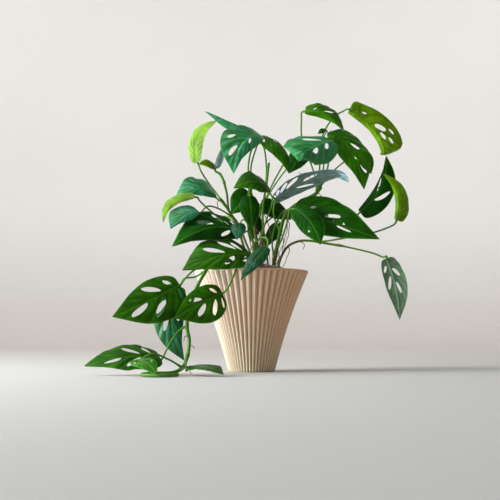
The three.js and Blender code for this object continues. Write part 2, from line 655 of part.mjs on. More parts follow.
// The blade is cut into cells between its side veins. Each cell, with its holes if it has any, is
// split into triangles once and used for both faces.
function buildLeaf(name, leaf) {
  const frame = bladeFrame(leaf);
  const tops = [];
  const lookup = new Map();
  const triangles = [];
  const edges = [];
  const corner = (half, vein, out) => {
    const key = out === 0 || vein === BLADE_ROWS.length - 1 ? `rib ${vein}` : `${half} ${vein} ${out}`;
    if (!lookup.has(key)) {
      lookup.set(key, tops.length);
      tops.push(bladePoint(leaf, frame, half, vein, out));
    }
    return lookup.get(key);
  };
  for (const half of ['right', 'left']) {
    for (let cell = 0; cell < BLADE_ROWS.length - 1; cell += 1) {
      const outline = [[cell, 0], [cell, 1], [cell + 1, 1], [cell + 1, 0]];
      if (cell === BLADE_ROWS.length - 2) outline.splice(2, 1);
      const holes = leaf[half].filter(([place]) => place === cell);
      const rings = holes.map(([place, centre, reach, width = HOLE_HALF_WIDTH]) => (
        HOLE_CORNERS.map(([x, y]) => [place + 0.5 + x * width, centre + y * reach])
      ));
      const flat = (list) => list.map(([x, y]) => new THREE.Vector2(x, y));
      const faces = THREE.ShapeUtils.triangulateShape(flat(outline), rings.map(flat));
      const all = [...outline, ...rings.flat()].map(([vein, out]) => corner(half, vein, out));
      const mirrored = half === 'left';
      for (const [a, b, c] of faces) {
        triangles.push(mirrored ? [all[a], all[b], all[c]] : [all[a], all[c], all[b]]);
      }
    }
  }
  // Edges that only one triangle uses are the margin and the rims of the holes.
  const used = new Set(triangles.flatMap(([a, b, c]) => [`${a} ${b}`, `${b} ${c}`, `${c} ${a}`]));
  for (const [a, b, c] of triangles) {
    for (const [from, to] of [[a, b], [b, c], [c, a]]) {
      if (!used.has(`${to} ${from}`)) edges.push([from, to]);
    }
  }
  const count = tops.length;
  const half = BLADE_THICKNESS / 2;
  const above = tops.map(({ point, normal }) => point.clone().addScaledVector(normal, half).toArray());
  const below = tops.map(({ point, normal }) => point.clone().addScaledVector(normal, -half).toArray());
  const indices = [];
  for (const [a, b, c] of triangles) indices.push(a, b, c, a + count, c + count, b + count);
  for (const [a, b] of edges) indices.push(b, a, a + count, b, a + count, b + count);
  const geometry = new THREE.BufferGeometry();
  geometry.setAttribute('position', new THREE.Float32BufferAttribute([...above, ...below].flat(), 3));
  geometry.setIndex(indices);
  return namedMesh(`leaf_${name}`, geometry, LEAF_TONES[leaf.tone]);
}

const plant = new THREE.Group();
plant.add(buildPot());
plant.add(buildSoil());
for (const [name, vine] of Object.entries(VINES)) plant.add(buildVine(name, vine));
for (const [name, leaf] of Object.entries(LEAVES)) plant.add(buildLeaf(name, leaf));

export default plant;
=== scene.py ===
"""A swiss cheese vine in a pleated pot, laid out as an add-on that builds each piece."""

import math
import random

import bmesh
import bpy
import numpy as np
from mathutils import Matrix, Vector, geometry, noise


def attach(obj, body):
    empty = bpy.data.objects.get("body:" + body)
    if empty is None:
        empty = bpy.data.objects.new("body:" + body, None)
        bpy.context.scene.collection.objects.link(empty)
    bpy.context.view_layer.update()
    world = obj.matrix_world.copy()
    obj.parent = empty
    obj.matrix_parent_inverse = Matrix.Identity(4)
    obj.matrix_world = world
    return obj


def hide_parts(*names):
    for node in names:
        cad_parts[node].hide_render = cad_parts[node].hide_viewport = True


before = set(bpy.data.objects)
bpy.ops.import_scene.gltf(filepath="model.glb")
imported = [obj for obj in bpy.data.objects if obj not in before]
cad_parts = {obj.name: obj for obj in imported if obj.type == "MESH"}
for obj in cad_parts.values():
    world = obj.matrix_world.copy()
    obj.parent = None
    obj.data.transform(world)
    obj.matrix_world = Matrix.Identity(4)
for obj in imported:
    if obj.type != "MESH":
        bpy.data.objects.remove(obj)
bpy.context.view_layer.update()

bl_info = {
    "name": "Swiss Cheese Vine",
    "version": (1, 0, 0),
    "blender": (4, 5, 0),
    "location": "View3D > Sidebar > Plant",
    "description": "Builds a potted swiss cheese vine, piece by piece",
    "category": "Add Mesh",
}

BODY = "root"

# The tables of leaves, stems and roots, and the working sizes below, are in millimetres.
MM = 0.001

# Pot. The depth of a pleat is a part of the radius, and each pleat has its number of corners round.
POT_HEIGHT = 124.5
FOOT_RADIUS = 28.4
FLARE = 0.2456
FLARE_BEND = 0.000747
PLEATS = 52
PLEAT_DEPTH = 0.038
PLEAT_CORNERS = 12
PLEATED_RINGS = 64
WALL = 3.4
FLOOR_THICKNESS = 6.0
RIM_LIP = 2.2

# Potting mix and its dressing of loose crumbs
SOIL_EDGE_HEIGHT = 119.0
SOIL_CROWN = 14.0
SOIL_SIDES = 120
CRUMBS = 1150
CRUMB_SIZES = (0.8, 2.1)
CRUMB_SEED = 7
PUMICE_SHARE = 0.55

# Stems and stalks: how each stalk meets its blade, and how the stems stand in the mix. An age is 0
# for soft green skin and 1 for brown skin.
STALK_RADIUS = 1.1
STALK_LEAD = 6.0
STALK_RISE = 0.65
STALK_AGE = 0.15
STEM_BOTTOM = 100.3
STEM_STRAIGHT_TOP = 122.0
STEM_AGE = 0.55
TRAILING_AGE = 0.25
JOINT_SWELLING = 0.22
JOINT_LENGTH = 2.6
ROOT_RADII = (0.6, 0.38)
ROOT_AGE = 1.0
ROOT_WANDER = 0.8
ROOT_SEED = 3

# Corners round each kind of stem, and how far apart its rings lie.
STEM_SIDES, STALK_SIDES, ROOT_SIDES = 14, 12, 8
STEM_STEP, STALK_STEP, ROOT_STEP = 1.8, 1.6, 1.5

# A stem's rounded end: how far its last ring and its tip lie past the line, and the ring's radius,
# as parts of the stem's radius.
END_RING = 0.6
END_TIP = 0.9
END_RADIUS = 0.75

# Leaf blades. Each row is one side vein: where it leaves the midrib, how far along the blade it
# meets the margin, and how far out, as parts of the blade's length and of the half's width.
BLADE_ROWS = np.array((
    (0.0, 0.0, 0.06),
    (0.01, -0.025, 0.34),
    (0.02, 0.01, 0.64),
    (0.045, 0.13, 0.89),
    (0.1, 0.29, 1.0),
    (0.185, 0.46, 0.96),
    (0.29, 0.62, 0.79),
    (0.42, 0.76, 0.53),
    (0.58, 0.88, 0.25),
    (0.77, 0.96, 0.07),
    (1.0, 1.0, 0.0),
))
LAST_VEIN = len(BLADE_ROWS) - 1
VEIN_SWEEP = 1.3

# How finely a blade is divided: its length in steps, and the limits of a step.
BLADE_STEPS = 62
FINEST_STEP = 0.9
COARSEST_STEP = 1.5

# The relief of a broad blade, less on narrow ones: the groove over the midrib, the ridge under it
# at the tip and what it gains towards the foot, and how far from the midrib each reaches. A blade
# turns up along its fold over a small radius, and its margin waves by a part of its width.
BROAD_HALF = 20.0
GROOVE_DEPTH = 0.35
GROOVE_REACH = 1.6
RIDGE_DEPTH = 0.15
RIDGE_GAIN = 0.75
RIDGE_REACH = 1.4
FOLD_RADIUS = 3.0
MARGIN_WAVE = 0.04

# Holes: the usual half width between two side veins, and the power that draws the ends to a point.
HOLE_HALF_WIDTH = 0.43
HOLE_POINT = 0.35

# The tones of waxy blades, which also carry painted sheen, and how far each tone leans to the warm tint.
WAXY_TONES = ("teal", "pale", "grey")
WARMTH = dict(deep=0.04, mid=0.2, teal=0.06, young=0.1, olive=0.3, pale=0.1, grey=0.0)
BLACK = (0.0, 0.0, 0.0)

# Every blade: its foot where the stalk ends, its tip, the way its upper face looks, the widths
# of the right and left halves seen from above with the tip away, how far the midrib bows up and
# sways right, how far each half folds up in degrees, how far the margins droop, and its holes.
# A hole is the number of the side vein before it, then its centre and its reach across the half,
# and its half width where that isn't the usual one.
# There are also rise, the angle in radians at which the stalk comes up to the blade; late, the
# power below 1 that moves the widest part towards the tip; curl, where along the blade the tip
# starts to turn under, by how many degrees and at what radius; and shadow, how much darker than its
# tone a blade is. A blade takes from USUAL_LEAF what its own row leaves out.
USUAL_LEAF = dict(
    sway=0, fold=(0, 0), droop=2, rise=STALK_RISE, late=1.0, curl=(1, 0, 0), shadow=0, right=(), left=())
LEAF_TABLE = {
    "crown_left_rear": dict(
        foot=(7, 26, 304), tip=(-61, 30, 335.5), face=(0, -0.85, 0.5), width=(7, 11), bow=2, sway=-2,
        fold=(-50, 0), rise=0.3, tone="teal",
        left=((4, 0.4, 0.2, 0.25), (6, 0.2, 0.16, 0.35), (8, 0.4, 0.33, 0.4))),
    "crown_front": dict(
        foot=(10, 2, 298), tip=(-22, -42, 241), face=(-0.35, -0.85, 0.45), width=(30, 15), bow=14, sway=4,
        fold=(26, -30), droop=3, rise=1, tone="teal", right=((5, 0.66, 0.14, 0.3), (7, 0.55, 0.28, 0.35)),
        left=((5, 0.35, 0.2, 0.3),)),
    "crown_right": dict(
        foot=(13, 12, 298), tip=(47, -8, 247), face=(0.35, -0.8, 0.45), width=(13, 12), bow=8, sway=-4,
        fold=(-10, -10), rise=1, tone="mid", right=((3, 0.4, 0.2, 0.35),),
        left=((2, 0.45, 0.2, 0.35), (4, 0.5, 0.22, 0.3))),
    "crown_young": dict(
        foot=(-69, -12, 262), tip=(-42, -22, 312), face=(-0.4, -0.9, 0.1), width=(10, 10), bow=4, sway=-12,
        fold=(5, 5), droop=1, tone="young"),
    "left_bud_low": dict(
        foot=(-46, -13, 253), tip=(-66, -28, 255), face=(0, -0.9, 0.4), width=(7, 5), bow=3, sway=2,
        droop=1, rise=0.3, tone="olive"),
    "left_bud_high": dict(
        foot=(-44, -5, 255), tip=(-37, 2, 284), face=(0.5, 0.75, 0.3), width=(7, 5), bow=2, fold=(15, 15),
        droop=0, rise=0, tone="grey", shadow=0.5),
    "left_upper": dict(
        foot=(-45.5, -18, 220), tip=(-92, -38, 215.5), face=(-0.1, -0.6, 0.8), width=(31, 12), bow=8,
        fold=(8, -20), tone="teal"),
    "left_young": dict(
        foot=(-71, -44, 213), tip=(-106, -58, 179), face=(-0.4, -0.8, 0.45), width=(9, 6), bow=6, sway=10,
        fold=(0, -20), droop=1, rise=0.4, tone="young"),
    "left_middle": dict(
        foot=(-65.5, -52, 194), tip=(-96, -72, 170), face=(-0.3, -0.8, 0.5), width=(22, 9), bow=4, sway=2,
        fold=(0, -10), tone="teal", shadow=0.4),
    "left_dark": dict(
        foot=(-14, -34, 172), tip=(-94, -74, 149), face=(0, -0.75, 0.65), width=(34, 16), bow=14, sway=2,
        fold=(0, -35), droop=3, tone="deep", right=((2, 0.45, 0.25), (4, 0.45, 0.3), (6, 0.45, 0.25)),
        left=((4, 0.5, 0.25),)),
    "centre_folded": dict(
        foot=(21, -34, 226), tip=(-22, -56, 221), face=(0, -0.75, 0.65), width=(23, 15), bow=10,
        fold=(0, -10), droop=3, tone="mid", shadow=0.45, right=((3, 0.5, 0.25),)),
    "centre_dark": dict(
        foot=(-3, -27, 215), tip=(0, -38, 173), face=(0.1, -0.95, 0.3), width=(13, 12), bow=4, droop=3,
        tone="deep"),
    "centre_rear_left": dict(
        foot=(-4, 10, 226), tip=(-26, 14, 198), face=(0.2, -0.9, 0.3), width=(15, 14), bow=3, tone="deep"),
    "centre_rear_right": dict(
        foot=(13, 22, 212), tip=(52, 38, 194), face=(0, -0.8, 0.5), width=(14, 15), bow=4, tone="deep"),
    "centre_low_left": dict(
        foot=(7, 12, 194), tip=(-1, 9, 162), face=(0.2, -0.9, 0.35), width=(9, 9), bow=3, tone="deep"),
    "centre_low_right": dict(
        foot=(34, 14, 186), tip=(19, 10, 156), face=(-0.2, -0.9, 0.35), width=(9, 10), bow=3, tone="deep"),
    "right_broad": dict(
        foot=(102, 2, 291.5), tip=(48.5, -62, 252), face=(0.1, -0.5, 0.85), width=(40, 26), bow=2, sway=4,
        fold=(0, -35), droop=6, rise=1, curl=(0.62, 60, 17), tone="teal", right=((4, 0.42, 0.32, 0.45),),
        left=((4, 0.25, 0.16, 0.45), (6, 0.4, 0.2, 0.42))),
    "right_under": dict(
        foot=(70, 22, 284), tip=(48, 24, 252), face=(-0.2, -0.95, 0.2), width=(14, 12), bow=3, tone="deep",
        right=((4, 0.5, 0.25),)),
    "right_large": dict(
        foot=(105, 20, 306), tip=(141, -12, 226), face=(0.35, -0.85, 0.45), width=(16, 29), bow=8, sway=-3,
        fold=(-10, 0), droop=3, tone="mid",
        left=((5, 0.45, 0.17, 0.36), (7, 0.6, 0.28, 0.4), (7, 0.14, 0.12, 0.2))),
    "right_top": dict(
        foot=(69.5, 4, 330), tip=(118, 6, 304), face=(0.2, -0.7, 0.65), width=(9, 21), bow=9, sway=-2,
        fold=(-80, 0), rise=0.3, tone="mid", left=((4, 0.22, 0.14, 0.25), (6, 0.45, 0.28, 0.32))),
    "right_bud": dict(
        foot=(95, 17, 308), tip=(85, 14, 302), face=(0, -0.8, 0.5), width=(4, 4), bow=1, droop=0,
        tone="deep"),
    "right_yellow": dict(
        foot=(128.5, 10, 330), tip=(162, 8, 228.5), face=(0.3, -0.9, 0.3), width=(9, 29), bow=4, sway=-27,
        fold=(-70, 0), rise=-0.3, late=0.7, curl=(0.52, 150, 8), tone="olive",
        left=((2, 0.35, 0.07, 0.25), (4, 0.28, 0.18, 0.4), (4, 0.64, 0.07, 0.2), (5, 0.17, 0.09, 0.4),
             (5, 0.46, 0.09, 0.22))),
    "right_rear_tip": dict(
        foot=(145, 40, 283), tip=(157, 44, 255), face=(0, -0.9, 0.3), width=(10, 10), bow=3, droop=1,
        tone="mid"),
    "right_dark_up": dict(
        foot=(142, 34, 205), tip=(175, 33, 278), face=(-0.1, -0.95, 0.2), width=(20, 7), bow=5, sway=11,
        tone="deep", right=((5, 0.45, 0.34, 0.35),), left=((6, 0.5, 0.32, 0.35),)),
    "right_olive": dict(
        foot=(182, -8, 190), tip=(166, -6, 247), face=(0.35, -0.9, 0), width=(16, 6), bow=3, sway=10,
        fold=(-10, -45), rise=0, tone="olive"),
    "right_hanging": dict(
        foot=(166, -26, 136.5), tip=(178.5, -40, 63), face=(-0.2, 0.95, 0.1), width=(15, 13), bow=3, sway=5,
        tone="pale", right=((4, 0.4, 0.25), (6, 0.4, 0.25)), left=((3, 0.5, 0.25), (5, 0.5, 0.32))),
    "right_low_big": dict(
        foot=(53.5, -14, 202), tip=(154.5, -50, 160), face=(0.1, -0.93, 0.35), width=(20, 33), bow=6,
        sway=4, droop=3, tone="deep", right=((4, 0.35, 0.2, 0.25), (7, 0.45, 0.22, 0.36)),
        left=((4, 0.3, 0.11, 0.28), (6, 0.34, 0.22, 0.42), (7, 0.2, 0.15, 0.4))),
    "right_low_front": dict(
        foot=(54, -32, 199), tip=(82, -64, 152), face=(-0.1, -0.9, 0.3), width=(15, 16), bow=4, sway=-4,
        fold=(0, -10), late=0.7, tone="deep", right=((3, 0.5, 0.14, 0.3), (6, 0.45, 0.3, 0.36))),
    "right_shaded": dict(
        foot=(31, -2, 215.5), tip=(129.5, -24, 244), face=(-0.1, 0.5, 0.87), width=(21, 12), bow=12,
        droop=3, curl=(0.8, 90, 14), tone="grey", shadow=0.2,
        right=((1, 0.5, 0.3), (2, 0.5, 0.3), (3, 0.5, 0.32), (4, 0.5, 0.32), (6, 0.4, 0.25)),
        left=((5, 0.5, 0.3),)),
    "front_big": dict(
        foot=(-3, -56, 142), tip=(-80, -96, 119.5), face=(-0.1, -0.75, 0.65), width=(36, 23), bow=8,
        fold=(0, -5), droop=3, tone="mid", shadow=0.45,
        right=((3, 0.4, 0.25), (4, 0.5, 0.3), (6, 0.45, 0.34)), left=((3, 0.5, 0.25), (5, 0.5, 0.28))),
    "front_under": dict(
        foot=(17, -58, 149), tip=(-13, -90, 108), face=(0.1, -0.7, 0.7), width=(9, 10), bow=4, tone="teal",
        shadow=0.7),
    "front_small": dict(
        foot=(-15, -40, 180.5), tip=(-17.5, -56, 158.5), face=(0, -0.9, 0.4), width=(9, 9), bow=3,
        tone="teal", shadow=0.65),
    "trail_upper": dict(
        foot=(-85, -88, 102.5), tip=(-157, -118, 65.5), face=(-0.1, -0.97, 0.15), width=(23, 30), bow=3,
        sway=-2, fold=(0, -5), droop=3, tone="mid", shadow=0.5, right=((3, 0.4, 0.24), (5, 0.5, 0.33)),
        left=((2, 0.4, 0.28), (5, 0.5, 0.33), (7, 0.5, 0.36))),
    "trail_inner": dict(
        foot=(-35.5, -82, 93), tip=(-89, -102, 64), face=(0, -1, 0.05), width=(18, 26), bow=3, sway=1,
        droop=3, tone="mid", shadow=0.42, right=((3, 0.4, 0.25), (6, 0.5, 0.28)),
        left=((2, 0.5, 0.3), (4, 0.45, 0.32), (6, 0.45, 0.3))),
    "trail_hanging": dict(
        foot=(-86, -72, 100), tip=(-77.5, -84, 15), face=(0, -0.97, 0.1), width=(21, 15), bow=2, sway=12,
        droop=3, tone="teal", shadow=0.6, right=((4, 0.6, 0.28), (6, 0.4, 0.28)), left=((5, 0.45, 0.28),)),
    "trail_low_left": dict(
        foot=(-107, -96, 20), tip=(-186, -128, 11), face=(-0.1, -0.6, 0.8), width=(25, 25), bow=6,
        tone="mid", shadow=0.45, right=((3, 0.5, 0.25), (5, 0.45, 0.32)),
        left=((3, 0.5, 0.25), (5, 0.5, 0.34), (7, 0.5, 0.32))),
    "trail_low_narrow": dict(
        foot=(-127, -128, 18), tip=(-100, -178, 3), face=(-0.1, -0.3, 0.95), width=(13, 12), bow=4, droop=1,
        tone="mid", right=((4, 0.5, 0.28),), left=((3, 0.5, 0.25), (5, 0.5, 0.3))),
    "trail_low_front": dict(
        foot=(-72, -108, 9), tip=(-30, -165, 3), face=(0.1, -0.3, 0.95), width=(17, 18), bow=5, tone="deep",
        right=((4, 0.5, 0.28),), left=((3, 0.5, 0.25), (5, 0.5, 0.3))),
    "rear_left": dict(
        foot=(-45, 38, 196), tip=(-78, 72, 184), face=(-0.3, 0.3, 0.9), width=(18, 20), bow=6, tone="mid",
        right=((4, 0.5, 0.25),), left=((3, 0.5, 0.25), (5, 0.5, 0.25))),
    "rear_right": dict(
        foot=(60, 50, 204), tip=(104, 84, 204), face=(0, 0.3, 0.95), width=(22, 24), bow=6, tone="deep",
        right=((3, 0.5, 0.25), (5, 0.5, 0.28)), left=((4, 0.5, 0.28),)),
    "rear_high": dict(
        foot=(62, 40, 283), tip=(85, 88, 277), face=(0.1, 0.2, 0.95), width=(16, 18), bow=5, tone="mid",
        right=((4, 0.5, 0.25),), left=((4, 0.5, 0.25),)),
}
LEAVES = {name: {**USUAL_LEAF, **leaf} for name, leaf in LEAF_TABLE.items()}

# Every vine: the radius and the path of its main stem, and the way that each leaf's stalk takes from
# the stem until it nears the blade.
VINES = {
    "vine_trailing": dict(
        radius=2.1, path=((-22, -30, 131), (-32, -41, 137), (-47, -55, 131), (-57, -66, 116),
            (-66, -75, 96), (-72, -80, 76), (-75, -84, 56), (-72, -87, 38), (-74, -92, 20), (-79, -98, 8),
            (-88, -106, 3), (-104, -120, 2.5), (-118, -140, 2.5), (-116, -162, 2.5), (-96, -172, 2.5),
            (-80, -160, 2.5)),
        stalks={
            "trail_hanging": ((-50, -60, 126), (-66, -64, 114), (-80, -68, 111)),
            "trail_low_left": ((-75, -84, 56), (-84, -84, 50), (-95, -89, 34)),
            "trail_low_narrow": ((-79, -98, 8), (-95, -108, 18), (-112, -116, 24)),
            "trail_low_front": ((-74, -92, 22), (-75, -98, 14)),
        }),
    "vine_front": dict(
        radius=2.1, path=((4, -38, 131), (4, -40, 145), (3, -43, 156)),
        stalks={
            "front_big": ((4, -39.5, 140), (5, -46, 143)),
            "front_under": ((3, -43, 154), (11, -44, 162), (19, -50, 160)),
            "front_small": ((3.5, -41, 150), (-1, -34, 172), (-10, -31, 186)),
            "left_dark": ((3.5, -41, 150), (0, -34, 163), (-4, -30, 172)),
            "trail_inner": ((4, -38, 134), (-6, -52, 137), (-16, -72, 127), (-21, -79, 114),
                (-27, -81, 101)),
            "trail_upper": ((4, -38, 132), (-22, -48, 133), (-46, -62, 130), (-66, -76, 122),
                (-78, -83, 110)),
        }),
    "vine_left": dict(
        radius=1.6, path=((-4, -12, 135), (-10, -14, 155), (-18, -15, 180), (-27, -16, 197),
            (-38, -18, 213)),
        stalks={
            "left_upper": ((-32, -16, 204), (-37, -14, 210)),
            "left_young": ((-14, -14, 168), (-36, -16, 186), (-54, -28, 200), (-64, -37, 209)),
            "left_middle": ((-24, -15.5, 191), (-40, -25, 200), (-54, -40, 201)),
            "crown_young": ((-36, -17, 210), (-44, -6, 222), (-54, 2, 236), (-64, -6, 251)),
        }),
    "vine_slim": dict(
        radius=1.4, path=((2, 0, 136), (-7, -2, 160), (-17, -3, 184), (-28, -4, 200), (-31, -4, 222),
            (-35, -6, 238)),
        stalks={
            "left_bud_low": ((-34, -6, 236), (-39, -9, 247)),
            "left_bud_high": ((-34, -6, 236), (-41, -5, 247)),
            "rear_left": ((-12, -2, 170), (-22, 14, 190), (-36, 30, 197)),
        }),
    "vine_crown": dict(
        radius=2.2, path=((10, 4, 135), (6, 2, 165), (0, 0, 205), (-2, 2, 236)),
        stalks={
            "crown_left_rear": ((-1.5, 2, 230), (0, 10, 262), (10, 24, 296)),
            "crown_front": ((-1.8, 2, 230), (-4, 2, 258), (2, 4, 284)),
            "centre_folded": ((8, 3, 145), (16, -12, 180), (26, -26, 212)),
            "centre_dark": ((-1, 1, 220), (-3, -12, 226)),
            "centre_rear_left": ((-1, 1, 220), (0, 7, 229)),
            "centre_low_left": ((0, 0.3, 203), (3, 6, 208)),
        }),
    "vine_centre": dict(
        radius=1.5, path=((20, -10, 134), (16, -6, 165), (14, -2, 200), (19, 2, 236), (22, 4, 262)),
        stalks={
            "crown_right": ((18, 1, 232), (19, 8, 258), (16, 16, 284)),
        }),
    "vine_right": dict(
        radius=2.3, path=((28, -4, 133), (31, -4, 150), (36, -4, 174), (43, -2, 196), (55, 4, 208),
            (70, 8, 217), (83, 8, 225), (86, 8, 233)),
        stalks={
            "right_top": ((85, 8, 231), (80, 11, 250), (73, 14, 272), (65, 20, 296), (64, 12, 320)),
            "right_broad": ((86, 8, 232), (91, 6, 255), (95, 3, 276)),
            "right_large": ((86, 8, 232), (97, 18, 256), (101, 26, 284)),
            "right_yellow": ((86, 8, 231), (88, 22, 265), (91, 30, 298), (98, 33, 315), (108, 28, 328),
                (118, 16, 332)),
            "right_bud": ((90.5, 29, 294), (95, 22, 303)),
            "right_rear_tip": ((86, 8, 231), (108, 26, 258), (134, 40, 280)),
            "right_low_big": ((29, -4, 140), (26, 2, 160), (30, 5, 182), (40, 3, 200)),
            "right_low_front": ((31, -4, 150), (38, -11, 165), (44, -16, 184), (48, -20, 200)),
            "right_shaded": ((36, -4, 174), (28, 0, 195)),
            "right_dark_up": ((43, -2, 196), (80, 18, 196), (115, 30, 194), (132, 34, 196)),
        }),
    "vine_low": dict(
        radius=1.5, path=((34, 8, 131), (38, 6, 144), (46, 0, 156), (60, -5, 162), (74, -8, 162),
            (95, -12, 158), (112, -16, 155)),
        stalks={
            "right_hanging": ((108, -15, 156), (150, -24, 145), (162, -26, 140)),
            "right_olive": ((84, -10, 160), (118, -18, 165), (150, -20, 171), (174, -13, 180)),
        }),
    "vine_rear": dict(
        radius=1.8, path=((14, 30, 131), (14, 34, 165), (10, 38, 195), (14, 42, 215)),
        stalks={
            "centre_rear_right": ((10, 38, 192), (8, 28, 202)),
            "centre_low_right": ((13, 34.6, 168), (24, 28, 180), (33, 21, 190)),
            "right_under": ((14, 42, 212), (34, 38, 245), (60, 32, 276)),
            "rear_right": ((11, 37, 182), (30, 42, 200), (48, 46, 208)),
            "rear_high": ((14, 42, 212), (32, 42, 250), (52, 42, 280)),
        }),
}

# Thin brown roots that hang from the stems in the air.
AERIAL_ROOTS = {
    "vine_right": (
        ((31, -4, 150), (34, -8, 144), (33, -12, 136), (29, -14, 127)),
        ((36, -4, 174), (40, -8, 162), (38, -11, 148), (32, -13, 136), (27, -14, 126)),
        ((43, -2, 196), (47, -5, 184), (45, -8, 166), (39, -10, 146), (33, -12, 127)),
        ((43, -2, 196), (45, 3, 182), (41, 6, 162), (32, 8, 142), (24, 8, 127)),
        ((83, 8, 225), (81, 2, 228), (86, -1, 222), (89, -2, 219)),
        ((86, 8, 231), (72, 8, 246), (60, 7, 250)),
    ),
    "vine_trailing": (
        ((-73, -86, 44), (-77, -92, 43), (-78, -94, 38)),
        ((-73, -88, 32), (-68, -94, 33), (-66, -96, 29)),
        ((-79, -98, 8), (-72, -104, 6), (-68, -110, 1.2)),
    ),
    "vine_low": (
        ((46, 0, 156), (47, -5, 150), (43, -9, 138), (37, -12, 126)),
        ((60, -5, 162), (66, -8, 158), (64, -11, 151)),
    ),
    "vine_centre": (
        ((16, -6, 165), (20, -12, 152), (23, -16, 138), (22, -18, 127)),
        ((14, -2, 200), (20, -8, 186), (25, -12, 165), (26, -15, 145), (25, -17, 127)),
        ((15, -4, 182), (11, -10, 168), (15, -14, 148), (17, -17, 128)),
        ((16, -6, 165), (12, -14, 155), (14, -22, 140), (13, -26, 128)),
    ),
    "vine_front": (
        ((4, -40, 145), (10, -44, 140), (14, -46, 132), (15, -47, 124)),
    ),
    "vine_left": (
        ((-38, -18, 213), (-42, -24, 207), (-41, -26, 200)),
        ((-20, -15, 184), (-25, -24, 178), (-32, -27, 179)),
    ),
    "vine_crown": (
        ((3, 1, 180), (9, -8, 172), (10, -11, 150), (12, -14, 128)),
        ((0, 0, 205), (-5, -6, 190), (-3, -10, 165), (2, -13, 145), (4, -15, 128)),
        ((6, 2, 165), (-2, -8, 150), (-6, -16, 138), (-8, -20, 128)),
    ),
}


def unit(rows):
    """The same directions, one long."""
    return rows / np.linalg.norm(rows, axis=-1, keepdims=True)


def ease(low, high, values):
    """0 below low, 1 above high and smooth between."""
    part = np.clip((values - low) / (high - low), 0.0, 1.0)
    return part * part * (3.0 - 2.0 * part)


def extended(rows):
    """The rows with one more at each end, in line with the last two there."""
    return np.concatenate((2 * rows[:1] - rows[1:2], rows, 2 * rows[-1:] - rows[-2:-1]))


def smooth_step(here, leave, there, reach, part):
    """A part of the way from here to there, on a curve that leaves and arrives at given slopes."""
    square, cube = part ** 2, part ** 3
    return (here * (2 * cube - 3 * square + 1) + leave * (cube - 2 * square + part)
            + there * (3 * square - 2 * cube) + reach * (cube - square))


def distances(line):
    """How far along a line each of its points lies."""
    return np.concatenate(([0.0], np.cumsum(np.linalg.norm(np.diff(line, axis=0), axis=1))))


def side_faces(rings, sides):
    """The faces between rings of corners, from one ring to the next."""
    starts = [(level * sides + i, level * sides + (i + 1) % sides)
              for level in range(rings - 1) for i in range(sides)]
    return [(a, b, b + sides, a + sides) for a, b in starts]


def closed_faces(rings, sides):
    """The faces between rings of corners, with a flat end at the first ring and at the last."""
    last = (rings - 1) * sides
    return [*side_faces(rings, sides), tuple(reversed(range(sides))), tuple(range(last, last + sides))]


class Shape:
    """The corners and faces of one piece in millimetres, with named triples at the corners."""

    def __init__(self):
        self.corners = []
        self.faces = []
        self.marks = {}

    def add(self, corners, faces, **marks):
        """Adds a part. Each mark is one triple for all its corners or one for each."""
        start = len(self.corners)
        self.corners.extend(tuple(corner) for corner in corners)
        self.faces.extend(tuple(start + i for i in face) for face in faces)
        for name, values in marks.items():
            rows = np.broadcast_to(np.asarray(values, dtype=float), (len(corners), 3))
            self.marks.setdefault(name, []).extend(rows.tolist())

    def piece(self, name, material, slot, nodes=(), crease=50.0):
        """The finished object: it rides on the body and stands for its nodes."""
        mesh = bpy.data.meshes.new(name)
        mesh.from_pydata((np.array(self.corners) * MM).tolist(), [], self.faces)
        for mark, values in self.marks.items():
            layer = mesh.attributes.new(mark, "FLOAT_VECTOR", "POINT")
            layer.data.foreach_set("vector", np.array(values, dtype=np.float32).ravel())
        mesh.polygons.foreach_set("use_smooth", [True] * len(mesh.polygons))
        mesh.set_sharp_from_angle(angle=math.radians(crease))
        mesh.materials.append(material)
        mesh.update()
        made = bpy.data.objects.new(name, mesh)
        bpy.context.scene.collection.objects.link(made)
        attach(made, BODY)
        if nodes:
            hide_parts(*nodes)


class Wire:
    """One socket that a value comes out of. Python's own signs add Math nodes to it."""

    def __init__(self, paint, socket):
        self.paint = paint
        self.socket = socket

    def math(self, operation, *others):
        return self.paint.node("ShaderNodeMath", {"operation": operation}, dict(enumerate((self, *others))))

    def __add__(self, other):
        return self.math("ADD", other)

    def __mul__(self, other):
        return self.math("MULTIPLY", other)

    def __sub__(self, other):
        return self.math("SUBTRACT", other)

    def __rsub__(self, other):
        return self * -1.0 + other

    def __abs__(self):
        return self.math("ABSOLUTE")

    __radd__ = __add__
    __rmul__ = __mul__

    def ramp(self, low, high):
        """0 below low, 1 above high and smooth between."""
        settings = {"interpolation_type": "SMOOTHSTEP"}
        values = {"Value": self, "From Min": low, "From Max": high}
        return self.paint.node("ShaderNodeMapRange", settings, values)


